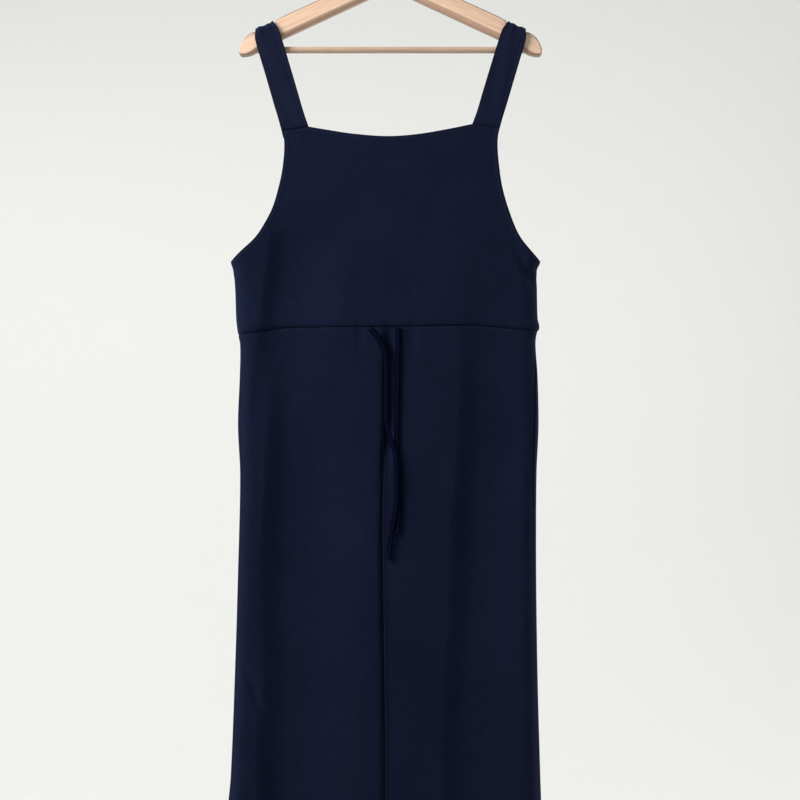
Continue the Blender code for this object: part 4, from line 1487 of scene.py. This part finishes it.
@dataclass
class Hanger:
    """The wooden hanger: a notched board, a round bar under it and a wire hook."""

    thick: float = 14.0 * MM
    top_round: float = 1.9 * MM
    under_round: float = 7.2 * MM
    # How much weaker the painted edge shade is on the underside's rounding.
    underside_shade_cut: float = 0.35
    round_depth: float = 1.5 * MM
    under_depth: float = 5.0 * MM
    round_steps: int = 7
    fillet_steps: int = 10
    underside_peak: EdgePoint = EdgePoint(0.0, -0.1183)
    top_peak: EdgePoint = EdgePoint(0.0, -0.0876)
    underside_fillet: float = 0.035
    top_fillet: float = 0.070
    bar_radius: float = 4.7 * MM
    wire_radius: float = 1.8 * MM
    hook_radius: float = 21.5 * MM
    hook_neck: float = 1.45
    hook_start: float = -38.0
    hook_turn: float = 238.0
    stem_depth: float = 20.0 * MM
    tip_share: float = 0.55
    edge: tuple[EdgePoint, ...] = table(
        EdgePoint,
        (0.1547, -0.1902), (0.1950, -0.2098), (0.2040, -0.2146), (0.2120, -0.2166),
        (0.2205, -0.2172), (0.2232, -0.2150), (0.2236, -0.2085), (0.2205, -0.1995),
        (0.2155, -0.1915), (0.2085, -0.1858), (0.2012, -0.1826), (0.1998, -0.1841),
        (0.1716, -0.1722), (0.1708, -0.1664), (0.1576, -0.1592),
    )

    @staticmethod
    def fillet(peak: EdgePoint, slope: float, radius: float, steps: int) -> list[EdgePoint]:
        """The right half of the arc that rounds a peak.

        Args:
            peak: The sharp corner's place, on the middle.
            slope: How steeply the sides fall away from it.
            radius: The arc's radius.
            steps: How many steps it has.

        Returns:
            Its points, from the middle out.
        """
        angle = math.atan(slope)
        middle = peak.height - radius / math.cos(angle)
        turns = [angle * i / steps for i in range(steps + 1)]
        return [EdgePoint(radius * math.sin(turn), middle + radius * math.cos(turn)) for turn in turns]

    def outline(self) -> list[EdgePoint]:
        """The board's outline as seen from the front, counter-clockwise."""
        first, last = self.edge[0], self.edge[-1]
        under = (self.underside_peak.height - first.height) / first.across
        over = (self.top_peak.height - last.height) / last.across
        half = self.fillet(self.underside_peak, under, self.underside_fillet, self.fillet_steps)
        half += self.edge
        half += self.fillet(self.top_peak, over, self.top_fillet, self.fillet_steps)[::-1]
        return half + [EdgePoint(-point.across, point.height) for point in half[-2:0:-1]]

    def rings(self) -> tuple[np.ndarray, np.ndarray]:
        """Works out loops round the board from its front face to its back one.

        The top edge has a narrow round, and the underside a broad one that dies out towards the tips.

        Returns:
            The loops, (loops, points, 3), and how far each point is on the underside, 0 to 1.
        """
        outline = np.array([(point.across, point.height) for point in self.outline()])
        before = outline - np.roll(outline, 1, axis=0)
        sides = []
        for way in (before, np.roll(before, -1, axis=0)):
            step = unit(way)
            sides.append(np.stack([-step[:, 1], step[:, 0]], axis=1))
        inward = (sides[0] + sides[1]) / (1 + np.sum(sides[0] * sides[1], axis=1))[:, None]
        under = ease(inward[:, 1], -0.2, 0.5) * ease(np.abs(outline[:, 0]), 0.216, 0.186)
        width = self.top_round + (self.under_round - self.top_round) * under
        deep = self.round_depth + (self.under_depth - self.round_depth) * under
        loops = []
        for turn in np.radians(np.linspace(0, 90, self.round_steps)):
            place = outline + inward * (width * (1 - math.sin(turn)))[:, None]
            stand = self.thick / 2 - deep * (1 - math.cos(turn))
            loops.append(np.stack([place[:, 0], -stand, place[:, 1]], axis=1))
        return np.array(loops + [loop * (1, -1, 1) for loop in loops[::-1]]), under

    def build_board(self, finish: bpy.types.Material) -> None:
        """Makes the board from its loops, with flat faces front and back.

        Args:
            finish: The wood's material.
        """
        rings, under = self.rings()
        loops, count = rings.shape[:2]
        index = np.arange(loops * count).reshape(loops, count)
        bands = np.roll(ring_faces(loops, count)[:, ::-1], 1, axis=1)
        mesh = bpy.data.meshes.new("hanger_board")
        mesh.from_pydata(rings.reshape(-1, 3).tolist(), [],
                         [*bands.tolist(), index[0].tolist(), index[-1][::-1].tolist()])
        # The rim map: how strongly each rounded edge takes the painted shade, 0 on the flat faces.
        rim = np.zeros((len(mesh.loops), 2), np.float32)
        rim[:4 * len(bands), 0] = 1 - self.underside_shade_cut * under[bands.ravel() % count]
        mesh.uv_layers.new(name="rim").data.foreach_set("uv", rim.ravel())
        board = add_object("hanger_board", mesh)
        only(board)
        bpy.ops.object.mode_set(mode="EDIT")
        bpy.ops.mesh.select_all(action="SELECT")
        bpy.ops.mesh.normals_make_consistent(inside=False)
        bpy.ops.object.mode_set(mode="OBJECT")
        bpy.ops.object.shade_smooth_by_angle(angle=math.radians(40))
        hand_over(board, finish, "hanger_arms")

    def build_bar(self, finish: bpy.types.Material) -> None:
        """Makes the round bar between the board's ends.

        Args:
            finish: The wood's material.
        """
        low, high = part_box("hanger_bar")
        middle = [(a + b) / 2 for a, b in zip(low, high)]
        bpy.ops.object.select_all(action="DESELECT")
        bpy.ops.mesh.primitive_cylinder_add(vertices=48, radius=self.bar_radius, depth=high[0] - low[0],
                                            location=middle, rotation=(0.0, math.pi / 2, 0.0))
        bar = bpy.context.object
        bar.name = "hanger_dowel"
        bpy.ops.object.transform_apply(location=True, rotation=True, scale=True)
        bpy.ops.object.shade_smooth_by_angle(angle=math.radians(35))
        hand_over(bar, finish, "hanger_bar")

    def hook_route(self) -> np.ndarray:
        """The wire's centreline: up out of the board, out to the right and over the top, (count, 3)."""
        reach = self.hook_radius + self.wire_radius
        middle = self.wire_radius - reach
        crown = max(point.height for point in self.outline())
        foot, neck = crown - self.stem_depth, middle - reach * self.hook_neck
        start, turn = math.radians(self.hook_start), math.radians(self.hook_turn)
        swing = (reach * math.cos(start), middle + reach * math.sin(start))
        stem = [(0.0, foot + (neck - foot) * t) for t in np.linspace(0, 1, 16)]
        shares = np.linspace(0, 1, 26)[1:-1]
        bend = [(swing[0] * (3 * t**2 - 2 * t**3), neck + (swing[1] - neck) * t) for t in shares]
        turns = np.linspace(start, start + turn, 90)
        bow = [(reach * math.cos(angle), middle + reach * math.sin(angle)) for angle in turns]
        return np.array([(x, 0.0, z) for x, z in stem + bend + bow])

    def build_hook(self, finish: bpy.types.Material) -> None:
        """Makes the hook: a round wire along its route, with a rounded tip.

        Args:
            finish: The steel's material.
        """
        route = self.hook_route()
        curve = bpy.data.curves.new("hanger_wire", "CURVE")
        curve.dimensions = "3D"
        curve.bevel_depth = self.wire_radius
        curve.bevel_resolution = 6
        curve.use_fill_caps = True
        line = curve.splines.new("POLY")
        line.points.add(len(route) - 1)
        for point, place in zip(line.points, route):
            point.co = (*place, 1.0)
        line.points[-1].radius = self.tip_share
        only(add_object("hanger_wire", curve))
        bpy.ops.object.convert(target="MESH")
        bpy.ops.object.shade_smooth_by_angle(angle=math.radians(50))
        hand_over(bpy.context.object, finish, "hanger_hook")


# --------------------------------------------------------------------------------------------------
# Studio
# --------------------------------------------------------------------------------------------------


class Lamp(NamedTuple):
    """A soft rectangular lamp: where it is, what it points at, its size, power and colour."""

    name: str
    place: tuple[float, float, float]
    aim: tuple[float, float, float]
    width: float
    height: float
    power: float
    colour: Colour


@dataclass
class Studio:
    """A pale floor that curves up into a wall all round, soft light mostly from the left, and the camera."""

    camera_height: float = -0.726
    camera_across: float = 0.014
    camera_distance: float = 1.645
    lens: float = 50.0
    floor: float = -2.35
    middle: float = -1.20
    reach: float = 4.50
    cove: float = 1.60
    turns: int = 128
    cove_steps: int = 24
    floor_hub: float = 0.02
    wall_top: float = 4.5
    sky: Colour = (0.93, 0.94, 0.95)
    sky_strength: float = 0.20
    lamps: tuple[Lamp, ...] = (
        Lamp("window", (-2.0, -1.0, 0.75), (0.0, 0.0, -0.50), 1.0, 1.8, 184.0, (1.0, 1.0, 0.99)),
        Lamp("fill", (1.3, -2.2, 1.2), (0.0, 0.0, -0.40), 2.0, 2.0, 12.0, (1.0, 0.98, 0.97)),
        Lamp("rim", (2.5, 0.45, -0.50), (0.2, 0.0, -0.75), 0.7, 2.4, 84.0, (1.0, 1.0, 1.0)),
        Lamp("wall_right", (2.4, 1.6, 1.3), (1.7, 3.3, 0.2), 2.0, 1.6, 2.6, (1.0, 1.0, 0.99)),
        Lamp("wall_side", (-1.8, 1.6, -0.5), (-1.8, 3.3, -1.5), 2.6, 2.6, 4.0, (1.0, 1.0, 0.99)),
    )

    def build(self) -> None:
        """Makes the camera, backdrop, lamps and sky."""
        self.build_camera()
        self.build_backdrop()
        for lamp in self.lamps:
            self.build_lamp(lamp)
        self.build_sky()
        bpy.context.scene.view_settings.view_transform = "Standard"

    def build_sky(self) -> None:
        """Makes the soft light that comes in over the wall."""
        world = bpy.data.worlds.new("studio_sky")
        bpy.context.scene.world = world
        world.use_nodes = True
        inputs = world.node_tree.nodes["Background"].inputs
        inputs["Color"].default_value = (*self.sky, 1.0)
        inputs["Strength"].default_value = self.sky_strength

    def build_camera(self) -> None:
        """Makes the camera, level and square to the garment."""
        data = bpy.data.cameras.new("camera")
        data.lens = self.lens
        camera = add_object("camera", data)
        camera.location = (self.camera_across, -self.camera_distance, self.camera_height)
        camera.rotation_euler = (math.pi / 2, 0.0, 0.0)
        bpy.context.scene.camera = camera

    def build_backdrop(self) -> None:
        """Makes the floor and the wall all round it as one turned sheet, with a round bend between them."""
        bends = np.radians(np.linspace(0, 90, self.cove_steps + 1))
        middle = (self.reach - self.cove, self.floor + self.cove)
        cove = [(middle[0] + self.cove * math.sin(a), middle[1] - self.cove * math.cos(a)) for a in bends]
        profile = np.array([(self.floor_hub, self.floor), *cove, (self.reach, self.wall_top)])
        turns = np.linspace(0, 2 * math.pi, self.turns, endpoint=False)
        rings = np.stack([profile[:, :1] * np.cos(turns), self.middle + profile[:, :1] * np.sin(turns),
                          np.broadcast_to(profile[:, 1:], (len(profile), self.turns))], axis=2)
        faces = ring_faces(len(rings), self.turns).tolist()
        mesh = bpy.data.meshes.new("backdrop")
        mesh.from_pydata(rings.reshape(-1, 3).tolist(), [], [*faces, list(range(self.turns))[::-1]])
        mesh.shade_smooth()
        backdrop = add_object("backdrop", mesh)
        backdrop.data.materials.append(BackdropFinish().build("backdrop_paint"))

    def build_lamp(self, lamp: Lamp) -> None:
        """Makes one lamp, turned to its aim.

        Args:
            lamp: Its place, aim, size and power.
        """
        data = bpy.data.lights.new(lamp.name, "AREA")
        data.shape = "RECTANGLE"
        data.size, data.size_y = lamp.width, lamp.height
        data.energy = lamp.power
        data.color = lamp.colour
        made = add_object(lamp.name, data)
        made.location = lamp.place
        way = np.array(lamp.aim) - np.array(lamp.place)
        flat = math.hypot(way[0], way[1])
        tilt, turn = math.atan2(way[2], flat), math.atan2(way[1], way[0])
        made.rotation_euler = (math.pi / 2 + tilt, 0.0, turn - math.pi / 2)


# --------------------------------------------------------------------------------------------------
# Scene
# --------------------------------------------------------------------------------------------------


def main() -> None:
    """Loads the frame, then makes the studio, the cloth and the hanger in order."""
    logging.basicConfig(level=logging.INFO, format="%(name)s: %(message)s")
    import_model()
    Studio().build()
    pattern = Pattern()
    knit = KnitFinish().build("navy_knit")
    # The ties' knit: a darker copy of the navy knit, its extra darkness painted shade.
    shaded_cord_knit = KnitFinish(dark=(0.0015, 0.0021, 0.0080), light=(0.0029, 0.0038, 0.0124), sheen=0.0, gloss=0.0,
                      stitch_row=6.0 * MM).build("navy_cord_painted_shade")
    # The straps' knit: a lighter, greyer copy of the navy knit, its extra lightness painted sheen.
    strap_painted_light_knit = KnitFinish(dark=(0.0036, 0.0050, 0.0146), light=(0.0066, 0.0084, 0.0226)).build("navy_strap_painted_light")
    for side in Side:
        Tie(pattern, side, TIE_ROUTES[side]).build(shaded_cord_knit)
    for face in Face:
        Bodice(pattern, face).build(knit)
        LOG.info("%s bodice", face.word)
        for side in Side:
            Leg(pattern, side, face).build(knit)
            LOG.info("%s leg, %s", face.word, side.word)
    for side in Side:
        Strap(pattern, side).build(strap_painted_light_knit)
        LOG.info("%s strap", side.word)
    hanger = Hanger()
    hanger.build_board(WoodFinish().build("beech"))
    bar = WoodFinish(pale=(0.38, 0.26, 0.185), deep=(0.27, 0.175, 0.12), slope=0.0)
    hanger.build_bar(bar.build("beech_bar"))
    hanger.build_hook(SteelFinish().build("hook_steel"))
    LOG.info("hanger")


if __name__ == "__main__":
    main()
